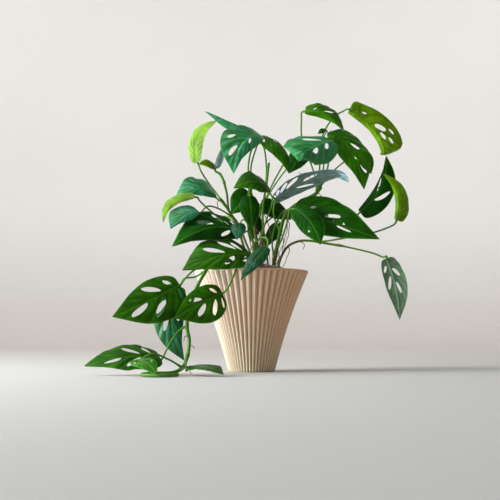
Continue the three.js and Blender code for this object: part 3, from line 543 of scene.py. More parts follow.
class Paint:
    """One material, whose nodes are added by name."""

    def __init__(self, name):
        self.material = bpy.data.materials.new(name)
        self.material.use_nodes = True
        self.tree = self.material.node_tree
        self.tree.nodes.clear()

    def node(self, kind, settings=None, sockets=None, out=0):
        """Adds a node with its settings, then the values or links of its sockets."""
        made = self.tree.nodes.new(kind)
        for key, value in (settings or {}).items():
            setattr(made, key, value)
        for key, value in (sockets or {}).items():
            if isinstance(value, Wire):
                self.tree.links.new(value.socket, made.inputs[key])
            else:
                made.inputs[key].default_value = value
        return Wire(self, made.outputs[out]) if made.outputs else None

    def place(self):
        """Where the point lies on the object, in metres."""
        return self.node("ShaderNodeTexCoord", out="Object")

    def axis(self, letter):
        """Where the point lies along X, Y or Z, in metres."""
        return self.node("ShaderNodeSeparateXYZ", None, {0: self.place()}, out=letter)

    def mark(self, name):
        """The three values of a mark at the corners."""
        vector = self.node("ShaderNodeAttribute", {"attribute_name": name}, out="Vector")
        split = self.node("ShaderNodeSeparateXYZ", None, {0: vector})
        return [Wire(self, output) for output in split.socket.node.outputs]

    def grain(self, scale, detail, roughness=0.5):
        """Noise from 0 to 1, with its features a scale-th of a metre across."""
        values = {"Vector": self.place(), "Scale": scale, "Detail": detail, "Roughness": roughness}
        return self.node("ShaderNodeTexNoise", None, values)

    def cells(self, scale, feature):
        """Cells a scale-th of a metre across, as the distance to what the feature names."""
        values = {"Vector": self.place(), "Scale": scale}
        return self.node("ShaderNodeTexVoronoi", {"feature": feature}, values)

    def mix(self, factor, first, second):
        """The second colour laid over the first by a factor. A plain colour is three numbers."""
        first, second = (colour if isinstance(colour, Wire) else (*colour, 1.0)
                         for colour in (first, second))
        settings = {"data_type": "RGBA", "clamp_factor": True}
        return self.node("ShaderNodeMix", settings, {0: factor, 6: first, 7: second}, out=2)

    def bump(self, height, strength, distance):
        values = {"Height": height, "Strength": strength, "Distance": distance}
        return self.node("ShaderNodeBump", None, values)

    def finish(self, **sockets):
        """The surface shader, its sockets given by name with underscores for spaces."""
        values = {key.replace("_", " "): value for key, value in sockets.items()}
        shader = self.node("ShaderNodeBsdfPrincipled", None, values)
        self.node("ShaderNodeOutputMaterial", None, {"Surface": shader})
        return self.material


def shade(colour, factor):
    """The same colour, lighter or darker."""
    return tuple(min(1.0, value * factor) for value in colour)


def rows_at(veins):
    """The side veins' rows read smoothly at any numbers between them."""
    veins = np.clip(np.asarray(veins, dtype=float), 0.0, LAST_VEIN)
    first = np.minimum(veins.astype(int), LAST_VEIN - 1)
    rows = extended(BLADE_ROWS)
    before, here, there, after = (rows[first + i] for i in range(4))
    return smooth_step(here, (there - before) / 2, there, (after - here) / 2, (veins - first)[..., None])


def flat_place(veins, outs, late=1.0):
    """How far along the blade and how far across, as parts of its length and half width."""
    rib, along, across = np.moveaxis(rows_at(veins), -1, 0)
    rib, along = (np.where(value > 0, np.abs(value) ** late, value) for value in (rib, along))
    return rib + (along - rib) * np.abs(outs) ** VEIN_SWEEP, across * outs


class Blade:
    """One leaf blade: its midrib, the frame along it and the sheet bent over them."""

    def __init__(self, leaf, seed):
        self.leaf = leaf
        self.foot, tip, face = (np.array(leaf[key], dtype=float) for key in ("foot", "tip", "face"))
        self.span = tip - self.foot
        self.length = float(np.linalg.norm(self.span))
        ahead = self.span / self.length
        self.up = unit(face - ahead * np.dot(face, ahead))
        right = np.cross(ahead, self.up)
        self.bend = self.up * leaf["bow"] + right * leaf["sway"]
        self.widths = np.array(leaf["width"], dtype=float)
        self.folds = np.radians(np.array(leaf["fold"], dtype=float))
        draw = random.Random(seed)
        self.waves = [(draw.uniform(1.4, 2.4), draw.uniform(0, math.tau)) for _ in range(4)]
        # The tint is from 0 to 1, or below 0 by the depth of the blade's shadow.
        self.tint = -leaf["shadow"] or draw.random()

    def frames(self, along):
        """The midrib's place, and the ways ahead, up and to the right, at parts of its length."""
        start, degrees, radius = self.leaf["curl"]
        along = np.asarray(along, dtype=float)[..., None]
        base = np.minimum(along, start)
        arch = np.where(base < 0, 4 * base, 4 * base * (1 - base))
        slope = np.where(base < 0, 4.0, 4 - 8 * base)
        centre = self.foot + self.span * base + self.bend * arch
        ahead = unit(self.span + self.bend * slope)
        lean = np.sum(self.up * ahead, axis=-1, keepdims=True)
        above = unit(self.up - ahead * lean)
        turn = math.radians(degrees) * (along - base) / max(1 - start, 1e-6)
        centre = centre + radius * (ahead * np.sin(turn) - above * (1 - np.cos(turn)))
        forward = ahead * np.cos(turn) - above * np.sin(turn)
        face = above * np.cos(turn) + ahead * np.sin(turn)
        return centre, forward, face, np.cross(forward, face)

    def sheet(self, along, across, lift, rounding):
        """Points of the bent blade and the ways it faces. Across is below 0 on the left half."""
        centre, _, face, side = self.frames(along)
        half = (across < 0).astype(int)
        sign = np.where(half, -1.0, 1.0)
        fold = self.folds[half]
        reach = np.abs(across) * self.widths[half]
        turn = fold * np.clip(reach / rounding, 0, 1)
        flat = np.abs(fold) < 1e-3
        bent = rounding / np.where(flat, 1.0, fold)
        straight = np.maximum(reach - rounding, 0)
        run = np.where(flat, reach, bent * np.sin(turn) + straight * np.cos(fold))
        rise = np.where(flat, 0.0, bent * (1 - np.cos(turn)) + straight * np.sin(fold))
        normal = face * np.cos(turn)[:, None] - side * (sign * np.sin(turn))[:, None]
        droop = self.leaf["droop"] * across ** 2
        points = centre + side * (sign * run)[:, None] + face * rise[:, None]
        return points + normal * (lift - droop)[:, None], normal

    def wave(self, along, across):
        """How far the margin rises and falls along its length."""
        half = (across < 0).astype(int)
        size = MARGIN_WAVE * self.widths[half] * np.abs(across) ** 2
        total = np.zeros_like(along)
        for i in (0, 1):
            turns, start = (np.where(half, self.waves[2 + i][k], self.waves[i][k]) for k in (0, 1))
            total += np.sin(math.tau * turns * (i + 1) * along + start) / (i + 1)
        return size * total


class Layout:
    """The flat blade: its points as rows of vein, out, half, x and y, the edges that must be kept and
    the rings of the holes. The points lie about a step apart, in millimetres."""

    def __init__(self, blade, step):
        self.blade = blade
        self.step = step
        self.points = []
        self.edges = []
        self.rings = []
        self.near = {}
        fine = max(3, round(blade.length / step / (LAST_VEIN - 1)))
        veins = [i / fine for i in range(1, LAST_VEIN * fine)]
        self.lay_outline(veins)
        self.lay_holes()
        self.lay_by_midrib(veins[1:])
        self.lay_inside(fine)

    def cell(self, x, y):
        return math.floor(x / self.step), math.floor(y / self.step)

    def clear(self, x, y, distance):
        """Whether no point lies nearer than a distance."""
        column, row = self.cell(x, y)
        return not any((other_x - x) ** 2 + (other_y - y) ** 2 < distance * distance
                       for i in range(column - 1, column + 2) for j in range(row - 1, row + 2)
                       for other_x, other_y in self.near.get((i, j), ()))

    def keep(self, places, distance=0.0):
        """Adds the places that lie clear of those before them, and gives back their numbers."""
        veins, outs, halves = np.array(places, dtype=float).T
        along, across = flat_place(veins, outs, self.blade.leaf["late"])
        side = halves.astype(int)
        across = across * self.blade.widths[side] * np.where(side, -1, 1)
        ids = []
        for place, x, y in zip(places, across.tolist(), (along * self.blade.length).tolist()):
            if distance and not self.clear(x, y, distance):
                continue
            self.near.setdefault(self.cell(x, y), []).append((x, y))
            ids.append(len(self.points))
            self.points.append((*place, x, y))
        return ids

    def lay_outline(self, veins):
        """The midrib, and the margin of each half from the foot to the tip."""
        midrib = self.keep([(vein, 0.0, 0) for vein in [0.0, *veins, float(LAST_VEIN)]])
        self.edges.extend(zip(midrib, midrib[1:]))
        for half in (0, 1):
            margin = [(0.0, out, half) for out in (0.35, 0.7)]
            margin += [(vein, 1.0, half) for vein in [0.0, *veins]]
            ids = [midrib[0], *self.keep(margin), midrib[-1]]
            self.edges.extend(zip(ids, ids[1:]))

    def lay_holes(self):
        for half, key in enumerate(("right", "left")):
            for cell, centre, reach, *width in self.blade.leaf[key]:
                width = width[0] if width else HOLE_HALF_WIDTH
                count = max(12, round(reach * self.blade.widths[half] * 4 / self.step))
                turns = [math.tau * i / count for i in range(count)]
                ids = self.keep([(cell + 0.5 + width * math.sin(turn) * abs(math.sin(turn)) ** HOLE_POINT,
                                  centre + reach * math.cos(turn), half) for turn in turns])
                self.edges.extend(zip(ids, ids[1:] + ids[:1]))
                self.rings.append((half, cell + 0.5, centre, width, reach, set(ids)))

    def lay_by_midrib(self, veins):
        """Two rows beside the midrib, which keep its groove and its ridge sharp."""
        for half in (0, 1):
            for side in (0.7, 1.5):
                outs = side / (self.blade.widths[half] * np.maximum(rows_at(veins)[:, 2], 0.01))
                beside = [(vein, float(out), half) for vein, out in zip(veins, outs) if out < 0.75]
                self.keep(beside, 0.5 * self.step)

    def lay_inside(self, fine):
        """Points over both halves, clear of the holes."""
        for half in (0, 1):
            holes = [ring for ring in self.rings if ring[0] == half]
            inner = []
            for vein in np.arange(0.0, LAST_VEIN, 1 / (2.0 * fine)):
                for out in np.arange(0.03, 0.98, self.step / (2.4 * self.blade.widths[half])):
                    if not any(((vein - middle) / width) ** 2 + ((out - centre) / reach) ** 2 < 1.15
                               for _, middle, centre, width, reach, _ in holes):
                        inner.append((float(vein), float(out), half))
            self.keep(inner, 0.86 * self.step)

    def triangles(self, name):
        """Counterclockwise triangles between the points, with the holes left open."""
        flat = [Vector(point[3:]) for point in self.points]
        made, _, faces, *_ = geometry.delaunay_2d_cdt(flat, self.edges, [], 1, 1e-6, False)
        if len(made) != len(flat):
            raise RuntimeError(f"the outline of {name} crosses itself")
        kept = []
        for face in faces:
            if any(ring.issuperset(face) for *_, ring in self.rings):
                continue
            a, b, c = (flat[i] for i in face)
            turned = (b - a).cross(c - a)
            kept.append(tuple(face) if turned > 0 else tuple(reversed(face)))
        return kept


def vein_spacing(blade, veins, outs, halves):
    """How far apart the side veins lie at each point, square to them, in millimetres."""
    scale = np.stack((np.full(len(veins), blade.length), blade.widths[halves.astype(int)]), axis=-1)
    late = blade.leaf["late"]
    nudge = 0.05

    def slope(vein_step, out_step):
        there = np.stack(flat_place(veins + vein_step, outs + out_step, late), axis=-1)
        here = np.stack(flat_place(veins - vein_step, np.abs(outs - out_step), late), axis=-1)
        return (there - here) * scale

    across = slope(nudge, 0.0) / (2 * nudge)
    ahead = unit(slope(0.0, nudge) + 1e-9)
    return np.abs(across[:, 0] * ahead[:, 1] - across[:, 1] * ahead[:, 0])


def build_blade(name, leaf, sizes):
    """The shape of one blade: its upper and lower faces and the rims between them. The marks are the
    number of the vein, how far out and how far from the midrib; then how far apart the veins lie, 1
    on the lower face, and the tint."""
    blade = Blade(leaf, name)
    layout = Layout(blade, min(max(blade.length / BLADE_STEPS, FINEST_STEP), COARSEST_STEP))
    faces = layout.triangles(name)
    veins, outs, halves = (np.array([point[i] for point in layout.points]) for i in range(3))
    along, across = flat_place(veins, outs, leaf["late"])
    across = np.where(halves > 0, -across, across)
    reach = np.abs(across) * blade.widths[halves.astype(int)]
    cell = vein_spacing(blade, veins, outs, halves)
    small = min(1.0, float(blade.widths.max()) / BROAD_HALF)

    between = np.abs(np.sin(np.pi * veins)) ** 0.8
    quilt = between * ease(0.0, 0.25, outs) * (1 - 0.65 * ease(0.7, 1.0, outs))
    groove = 1 - ease(0.0, GROOVE_REACH, reach)
    lift = quilt * cell * sizes.quilting - GROOVE_DEPTH * small * groove + blade.wave(along, across)
    deep = RIDGE_DEPTH + RIDGE_GAIN * (1 - np.clip(along, 0, 1))
    ridge = (1 - ease(0.0, RIDGE_REACH, reach)) * small * deep
    half_thick = sizes.thickness / MM / 2
    middle, normal = blade.sheet(along, across, lift, rounding=FOLD_RADIUS * small)
    above = middle + normal * half_thick
    below = middle - normal * (half_thick + ridge)[:, None]

    count = len(above)
    used = {edge for a, b, c in faces for edge in ((a, b), (b, c), (c, a))}
    rim = [(b, a, a + count, b + count) for a, b in used if (b, a) not in used]
    lower = [(c + count, b + count, a + count) for a, b, c in faces]
    place = np.stack((veins, outs, reach), axis=-1)
    kinds = [np.stack((cell, np.full(count, under), np.full(count, blade.tint)), axis=-1)
             for under in (0.0, 1.0)]
    shape = Shape()
    shape.add([*above, *below], [*faces, *lower, *sorted(rim)],
              leaf_map=np.concatenate((place, place)), leaf_kind=np.concatenate(kinds))
    return shape


def smooth_path(points, spacing):
    """A centripetal Catmull-Rom curve through the points, with its own points about evenly spaced."""
    points = extended(np.array(points, dtype=float))
    line = []
    for before, here, there, after in zip(points, points[1:], points[2:], points[3:]):
        first, middle, last = (max(float(np.linalg.norm(b - a)) ** 0.5, 1e-3)
                               for a, b in ((before, here), (here, there), (there, after)))
        leave = (here - before) / first - (there - before) / (first + middle) + (there - here) / middle
        reach = (there - here) / middle - (after - here) / (middle + last) + (after - there) / last
        steps = max(2, round(middle ** 2 / spacing))
        part = np.linspace(0, 1, steps, endpoint=False)[:, None]
        line.append(smooth_step(here, leave * middle, there, reach * middle, part))
    line.append(points[-2:-1])
    return np.concatenate(line)


def tube(shape, line, radii, sides, age, tint):
    """Adds a round stem along a line, with rounded ends. Its age and tint are from 0 to 1."""
    ahead = unit(np.gradient(line, axis=0))
    first, last = radii[0], radii[-1]
    rings = [(line[0] - ahead[0] * END_RING * first, END_RADIUS * first, ahead[0]),
             *zip(line, radii, ahead),
             (line[-1] + ahead[-1] * END_RING * last, END_RADIUS * last, ahead[-1])]
    side = np.cross(ahead[0], (0.3, 0.5, 0.8))
    turns = np.linspace(0, math.tau, sides, endpoint=False)
    corners = []
    for centre, radius, way in rings:
        side = unit(side - way * np.dot(side, way))
        other = np.cross(way, side)
        corners.extend(centre + radius * (side * math.cos(turn) + other * math.sin(turn)) for turn in turns)
    faces = side_faces(len(rings), sides)
    top = len(corners) - sides
    for i in range(sides):
        j = (i + 1) % sides
        faces += [(j, i, len(corners)), (top + i, top + j, len(corners) + 1)]
    corners += [line[0] - ahead[0] * END_TIP * first, line[-1] + ahead[-1] * END_TIP * last]
    shape.add(corners, faces, stem_map=(age, tint, 0.0))


def swollen(line, places, radius):
    """A stem's radius along its line, thicker by a ring at each place."""
    radii = np.full(len(line), float(radius))
    for place in places:
        apart = np.linalg.norm(line - np.array(place, dtype=float), axis=1)
        radii += radius * JOINT_SWELLING * np.exp(-(apart / JOINT_LENGTH) ** 2)
    return radii


def stalk_line(leaf, way):
    """A leaf stalk's points, up to the foot of its blade from behind and below."""
    centre, forward, face, _ = (row[0] for row in Blade(leaf, 0).frames([0.0]))
    arrival = forward * math.cos(leaf["rise"]) + face * math.sin(leaf["rise"])
    return [*way, centre - arrival * STALK_LEAD, centre - arrival * 0.4 - face * 0.75]


def build_vine(name, vine, sizes):
    """The shape of one vine: its main stem, leaf stalks and aerial roots."""
    shape = Shape()
    draw = random.Random(name)
    x, y, _ = vine["path"][0]
    line = smooth_path([(x, y, STEM_BOTTOM), (x, y, STEM_STRAIGHT_TOP), *vine["path"]], STEM_STEP)
    joints = [way[0] for way in vine["stalks"].values()]
    age = TRAILING_AGE if name == "vine_trailing" else STEM_AGE
    tube(shape, line, swollen(line, joints, vine["radius"]), STEM_SIDES, age, draw.random())
    for leaf_name, way in vine["stalks"].items():
        leaf = LEAVES[leaf_name]
        stalk = smooth_path(stalk_line(leaf, way), STALK_STEP)
        run = distances(stalk)
        size = min(1.0, 0.55 + float(np.linalg.norm(np.subtract(leaf["tip"], leaf["foot"]))) / 120)
        thick = STALK_RADIUS * size * sizes.stalk_scale
        sheath = 1 + 0.55 * (1 - ease(0.0, 12.0, run))
        elbow = 1 + 0.3 * ease(run[-1] - 8.0, run[-1] - 3.0, run) - 0.12 * ease(run[-1] - 3.0, run[-1], run)
        tube(shape, stalk, thick * sheath * elbow, STALK_SIDES, STALK_AGE, draw.random())
    noise.seed_set(ROOT_SEED)
    for way in AERIAL_ROOTS.get(name, ()):
        root = smooth_path(way, ROOT_STEP)
        wander = np.array([noise.noise_vector(Vector(point) * 0.12) for point in root]) * ROOT_WANDER
        root = root + wander * ease(0, 4, np.arange(len(root)))[:, None]
        tube(shape, root, np.linspace(*ROOT_RADII, len(root)), ROOT_SIDES, ROOT_AGE, draw.random())
    return shape


def pot_radius(height):
    """The pot's outside radius at a height, between the pleats."""
    return FOOT_RADIUS + FLARE * height + FLARE_BEND * height * height


def build_pot(sizes):
    """The shape of the pot: up the pleated outside, over the rim and down the inside. The marks are
    0 on the pleats, 1 on the rim and 2 inside, then how far out the pleat is, and the height."""
    corners = sizes.pleats * PLEAT_CORNERS
    angles = np.linspace(0, math.tau, corners, endpoint=False) - math.pi / 2
    fold = 1 - np.abs(2 * (np.arange(corners) % PLEAT_CORNERS) / PLEAT_CORNERS - 1)
    pleat = 0.85 * fold + 0.075 * (1 - np.cos(math.pi * fold))
    points, marks = [], []

    def ring(height, radius, depth, part):
        reach = radius - depth * (1 - pleat) + depth * 0.42
        points.extend((r * math.cos(angle), r * math.sin(angle), height) for r, angle in zip(reach, angles))
        marks.extend((part, float(rise), height / POT_HEIGHT) for rise in pleat)

    lip = pot_radius(POT_HEIGHT)
    lip_low = POT_HEIGHT - RIM_LIP
    ring(0.0, FOOT_RADIUS - 1.6, 0.0, 0.0)
    ring(0.35, FOOT_RADIUS - 0.55, 0.0, 0.0)
    for height in np.linspace(1.3, lip_low - 0.9, PLEATED_RINGS):
        radius = pot_radius(height)
        ring(float(height), radius, sizes.pleat_depth * radius, 0.0)
    ring(lip_low - 0.35, pot_radius(lip_low), sizes.pleat_depth * lip * 0.45, 0.0)
    for height, radius in ((lip_low, lip), (lip_low + 0.35, lip + 0.3), (POT_HEIGHT - 0.5, lip + 0.3),
                           (POT_HEIGHT - 0.1, lip - 0.1), (POT_HEIGHT, lip - 0.7),
                           (POT_HEIGHT, lip - WALL + 1.2), (POT_HEIGHT - 0.2, lip - WALL + 0.5),
                           (POT_HEIGHT - 0.9, lip - WALL)):
        ring(height, radius, 0.0, 1.0)
    for height in np.linspace(POT_HEIGHT - 4, FLOOR_THICKNESS, 12):
        ring(float(height), pot_radius(height) - WALL, 0.0, 2.0)
    shape = Shape()
    shape.add(points, closed_faces(len(points) // corners, corners), pot_map=marks)
    return shape


def soil_height(x, y):
    """The top of the potting mix."""
    edge = pot_radius(SOIL_EDGE_HEIGHT) - WALL
    part = min(1.0, math.hypot(x, y) / edge)
    rough = noise.fractal(Vector((x, y, 0)) * 0.16, 1.0, 2.0, 4)
    return SOIL_EDGE_HEIGHT + (SOIL_CROWN - 1.0) * (1 - part * part) + 0.9 * rough - 0.4


def build_soil():
    """The shape of the potting mix, with its crumbled top."""
    points = []

    def ring(radius, height=None):
        for i in range(SOIL_SIDES):
            turn = math.tau * i / SOIL_SIDES
            x, y = radius * math.cos(turn), radius * math.sin(turn)
            points.append((x, y, soil_height(x, y) if height is None else height))

    for height in (FLOOR_THICKNESS + 0.3, 60.0, SOIL_EDGE_HEIGHT - 2):
        ring(pot_radius(height) - WALL - 0.5, height)
    edge = pot_radius(SOIL_EDGE_HEIGHT) - WALL - 0.35
    for part in np.linspace(1.0, 0.02, 34):
        ring(edge * float(part))
    shape = Shape()
    shape.add(points, closed_faces(len(points) // SOIL_SIDES, SOIL_SIDES), grit_map=(0.0, 0.0, 0.0))
    return shape


def build_grit(count):
    """The shape of the loose dressing on the mix: crumbs of bark and pale pumice, clear of the stems."""
    draw = random.Random(CRUMB_SEED)
    ball = bpy.data.meshes.new("crumb")
    crumb = bmesh.new()
    bmesh.ops.create_icosphere(crumb, subdivisions=2, radius=1.0)
    crumb.to_mesh(ball)
    crumb.free()
    corners = np.array([tuple(vertex.co) for vertex in ball.vertices])
    faces = [tuple(face.vertices) for face in ball.polygons]
    bpy.data.meshes.remove(ball)
    stems = [(*vine["path"][0][:2], vine["radius"]) for vine in VINES.values()]
    edge = pot_radius(SOIL_EDGE_HEIGHT) - WALL
    shape = Shape()
    placed = 0
    while placed < count:
        radius, turn = edge * math.sqrt(draw.random()), draw.uniform(0, math.tau)
        size = draw.uniform(*CRUMB_SIZES) ** 1.1
        x, y = radius * math.cos(turn), radius * math.sin(turn)
        if radius + size > edge - 0.3:
            continue
        if any(math.hypot(x - u, y - v) < r + 0.4 * size for u, v, r in stems):
            continue
        stretch = np.array([draw.uniform(0.7, 1.3), draw.uniform(0.7, 1.2), draw.uniform(0.45, 0.9)])
        spin = Matrix.Rotation(draw.uniform(0, math.tau), 3, Vector((draw.random(), draw.random(), 2)))
        seed = Vector((draw.uniform(0, 50), draw.uniform(0, 50), 0))
        bumps = np.array([1 + 0.35 * noise.noise(Vector(corner) * 1.3 + seed) for corner in corners])
        rock = (corners * bumps[:, None] * stretch * size) @ np.array(spin)
        pumice = 1.0 if draw.random() < PUMICE_SHARE else 0.0
        shape.add(rock + (x, y, soil_height(x, y) + size * 0.4), faces,
                  grit_map=(1.0, pumice, draw.random()))
        placed += 1
    return shape


def leaf_material(kind, colour, settings):
    """One tone of blade: paler veins, painted shade in the grooves beside them, soft blotches and a dull
    grey-green underside that is darker along the streaks.
    The waxy tones carry streaks of painted sheen along their side veins in place of that painted shade, and
    a blade with a shadow is painted darker."""
    paint = Paint(f"waxy_{kind}")
    vein, out, rib = paint.mark("leaf_map")
    cell, under, tint = paint.mark("leaf_kind")
    gap = abs((vein + 0.5).math("FRACT") - 0.5) * cell
    grown = cell.ramp(1.0, 4.0)
    side_vein = (1 - gap.ramp(0.05, 0.9)) * (1 - out.ramp(0.7, 1.0)) * grown
    midrib = 1 - rib.ramp(0.35, 1.25)
    lines = (midrib + side_vein * 0.45).math("MINIMUM", 1.0)
    waxy = kind in WAXY_TONES
    pores = paint.grain(1400.0, 2.0)
    blotch = paint.grain(55.0, 3.0).ramp(0.36, 0.68)
    streaks = (1 - gap.ramp(0.3, 3.0)) * paint.grain(120.0, 3.0).ramp(0.35, 0.6)

    blade = paint.mix(blotch, shade(colour, 0.74), shade(colour, 1.3))
    blade = paint.mix(tint.ramp(0.2, 1.0) * WARMTH[kind], blade, settings.warm)
    blade = paint.mix(out.ramp(0.93, 1.0) * 0.3, blade, settings.vein)
    if waxy:
        # Painted sheen in streaks along the side veins of the waxy tones.
        blade = paint.mix(streaks * paint.grain(38.0, 2.0).ramp(0.38, 0.56) * 0.8, blade, settings.wax)
    else:
        # Painted shade in the grooves beside the side veins.
        vein_valley_shade = (1 - gap.ramp(0.2, 2.2)) * (1 - out.ramp(0.75, 1.0)) * grown
        blade = paint.mix(vein_valley_shade * 0.5, blade, shade(colour, 0.45))
    upper = paint.mix(lines * (0.28 if kind == "mid" else 0.18), blade, settings.vein)
    dull = paint.mix(0.62, shade(colour, 1.1), settings.underside)
    # On the lower face the same streaks are painted darker.
    dull = paint.mix(streaks * 0.6, dull, shade(settings.underside, 0.4))
    lower = paint.mix(lines * 0.55, dull, shade(settings.underside, 1.5))
    face = paint.mix(under, upper, lower)
    shadow = (0 - tint).ramp(0.0, 1.0) * 0.8

    net = paint.cells(420.0, "DISTANCE_TO_EDGE")
    height = net.ramp(0.0, 0.22) * 0.5 + pores * 0.25 + gap.ramp(0.0, 0.5) * 0.6
    return paint.finish(
        Base_Color=paint.mix(shadow, face, BLACK),
        Roughness=pores * 0.08 + under * 0.24 + settings.roughness,
        Normal=paint.bump(height, 0.35, 0.0003),
        Specular_IOR_Level=settings.wax_shine if waxy else settings.plain_shine,
    )


def stem_material(settings):
    """Green stems and stalks with a fine grain, browner the older they are and browner still near the mix,
    where the brown is partly cork and partly painted shade;
    and the brown skin of the aerial roots."""
    paint = Paint("vine_skin")
    age, tint, _ = paint.mark("stem_map")
    lines = paint.grain(700.0, 3.0)
    patches = paint.grain(70.0, 3.0)
    green = paint.mix(patches.ramp(0.35, 0.7), settings.stalk, settings.stem)
    green = paint.mix(tint * 0.5, green, shade(settings.stalk, 1.35))
    # Near the mix the skin turns browner: partly cork, partly painted shade where the stems meet the mix.
    low = 1 - paint.axis("Z").ramp(0.13, 0.2)
    corky = (patches + age * 0.8 + low * age * 0.5).ramp(0.85, 1.15) * 0.6
    brown = paint.mix(lines.ramp(0.3, 0.7), shade(settings.bark, 0.7), shade(settings.bark, 1.3))
    skin = paint.mix(corky, green, brown)
    return paint.finish(
        Base_Color=paint.mix(age.ramp(0.8, 0.95), skin, brown),
        Roughness=age * 0.35 + lines * 0.15 + 0.28,
        Normal=paint.bump(lines + patches, 0.3, 0.0004),
        Specular_IOR_Level=0.15,
    )


def pot_material(settings):
    """Unglazed clay with painted light: painted shade in the grooves, a painted highlight on the edges of
    its pleats that is strongest on the window side and higher up, the window side painted lighter and
    cooler, and a little greener towards the foot."""
    paint = Paint("pleated_clay")
    part, fold, level = paint.mark("pot_map")
    clouds = paint.grain(28.0, 4.0)
    sand = paint.grain(2600.0, 3.0, 0.7)
    specks = paint.cells(900.0, "F1")
    across = paint.axis("X")
    wall = 1 - part.ramp(0.0, 0.5)
    # Painted highlight on the pleats' edges, strongest on the window side and higher up.
    lit_ridges = (1 - across.ramp(-0.02, 0.07) * 0.6) * wall * (0.45 + level * 0.3)
    # Painted light: the window side, at low X, is painted in a lighter, cooler clay.
    clay = paint.mix(across.ramp(-0.065, 0.035), settings.painted_light_clay, settings.clay)
    clay = paint.mix(level.ramp(0.0, 0.6), paint.mix(0.75, clay, settings.foot_clay), clay)
    for factor, colour in (
        (clouds.ramp(0.35, 0.7) * 0.3, shade(settings.clay, 1.22)),
        (fold.ramp(0.72, 1.0) * lit_ridges, settings.ridge_highlight_clay),
        # Painted shade in the grooves between the pleats.
        ((1 - fold.ramp(0.0, 0.4)) * wall * 0.8, shade(settings.clay, 0.35)),
        (sand.ramp(0.45, 0.75) * 0.3, shade(settings.clay, 1.4)),
        ((1 - specks.ramp(0.06, 0.16)) * 0.3, shade(settings.clay, 0.5)),
    ):
        clay = paint.mix(factor, clay, colour)
    return paint.finish(
        Base_Color=clay,
        Roughness=sand * 0.2 + 0.42,
        Normal=paint.bump(sand + clouds, 0.35, 0.0003),
    )


def soil_material(settings):
    """Dark crumbled mix, and loose crumbs of bark and pale pumice on it."""
    paint = Paint("crumbled_mix")
    loose, pumice, tint = paint.mark("grit_map")
    crumbs = paint.grain(420.0, 5.0, 0.7)
    pits = paint.grain(1500.0, 4.0, 0.7)
    soil = paint.mix(crumbs.ramp(0.35, 0.7), shade(settings.mix, 0.45), shade(settings.mix, 1.5))
    bark = paint.mix(tint, shade(settings.mix, 0.9), settings.bark)
    stone = paint.mix(tint, settings.pumice, shade(settings.pumice, 0.62))
    piece = paint.mix(pumice, bark, stone)
    piece = paint.mix(pits.ramp(0.3, 0.75) * 0.6, piece, shade(settings.mix, 0.8))
    return paint.finish(
        Base_Color=paint.mix(loose, soil, piece),
        Roughness=pits * 0.1 + 0.85,
        Normal=paint.bump(pits + crumbs, 0.6, 0.0006),
    )


def stage_material(settings):
    """Plain pale paint with a hardly seen unevenness, a little darker on the floor."""
    paint = Paint("pale_backdrop")
    clouds = paint.grain(3.0, 3.0)
    wall = paint.mix(clouds.ramp(0.3, 0.7), shade(settings.backdrop, 0.985), settings.backdrop)
    wall = paint.mix(paint.axis("Z").ramp(0.0, 0.6), settings.floor, wall)
    return paint.finish(Base_Color=wall, Roughness=0.9, Specular_IOR_Level=0.1)


def tone(name, description, colour):
    """A colour property."""
    return bpy.props.FloatVectorProperty(
        name=name, description=description, default=colour, subtype="COLOR", size=3, min=0.0, max=1.0)


def length(name, description, default, **limits):
    """A length property, in metres."""
    return bpy.props.FloatProperty(
        name=name, description=description, default=default, unit="LENGTH", subtype="DISTANCE",
        precision=5, **limits)


def share(name, description, default, low, high):
    """A property that is a part or a multiple of something, within limits."""
    return bpy.props.FloatProperty(
        name=name, description=description, default=default, min=low, max=high, subtype="FACTOR")


def power(name, description, default):
    """The power of a light, in watts."""
    return bpy.props.FloatProperty(
        name=name, description=description, default=default, min=0.0, unit="POWER")


class PotSettings(bpy.types.PropertyGroup):
    pleats: bpy.props.IntProperty(
        name="Pleats", description="Number of pleats round the pot", default=PLEATS, min=12, max=90)
    pleat_depth: share("Pleat depth", "Depth of a pleat as a part of the radius there",
                       PLEAT_DEPTH, 0.0, 0.06)
    clay: tone("Clay", "Colour of the upper wall", (0.66, 0.39, 0.215))
    # Painted light: the window side of the pot is painted in this lighter, cooler clay.
    painted_light_clay: tone("Faded clay", "Colour of the side that faces the window", (0.66, 0.55, 0.46))
    # Painted highlight: the lit edges of the pleats are painted in this colour.
    ridge_highlight_clay: tone("Worn clay", "Colour of the pleats' edges", (0.78, 0.68, 0.58))
    foot_clay: tone("Foot clay", "Colour of the wall by the foot", (0.46, 0.45, 0.29))


class SoilSettings(bpy.types.PropertyGroup):
    crumbs: bpy.props.IntProperty(
        name="Crumbs", description="Number of loose crumbs on the mix", default=CRUMBS, min=0, max=2000)
    mix: tone("Mix", "Colour of the potting mix", (0.075, 0.048, 0.03))
    bark: tone("Bark", "Colour of the bark crumbs", (0.3, 0.19, 0.11))
    pumice: tone("Pumice", "Colour of the pumice crumbs", (0.52, 0.45, 0.37))


class VineSettings(bpy.types.PropertyGroup):
    stalk_scale: share("Stalk thickness", "Thickness of the leaf stalks against their usual one",
                       1.0, 0.5, 1.3)
    stalk: tone("Stalk", "Colour of the leaf stalks", (0.06, 0.19, 0.012))
    stem: tone("Stem", "Colour of the main stems", (0.1, 0.24, 0.03))
    bark: tone("Root", "Colour of the aerial roots and the corky skin", (0.13, 0.07, 0.03))


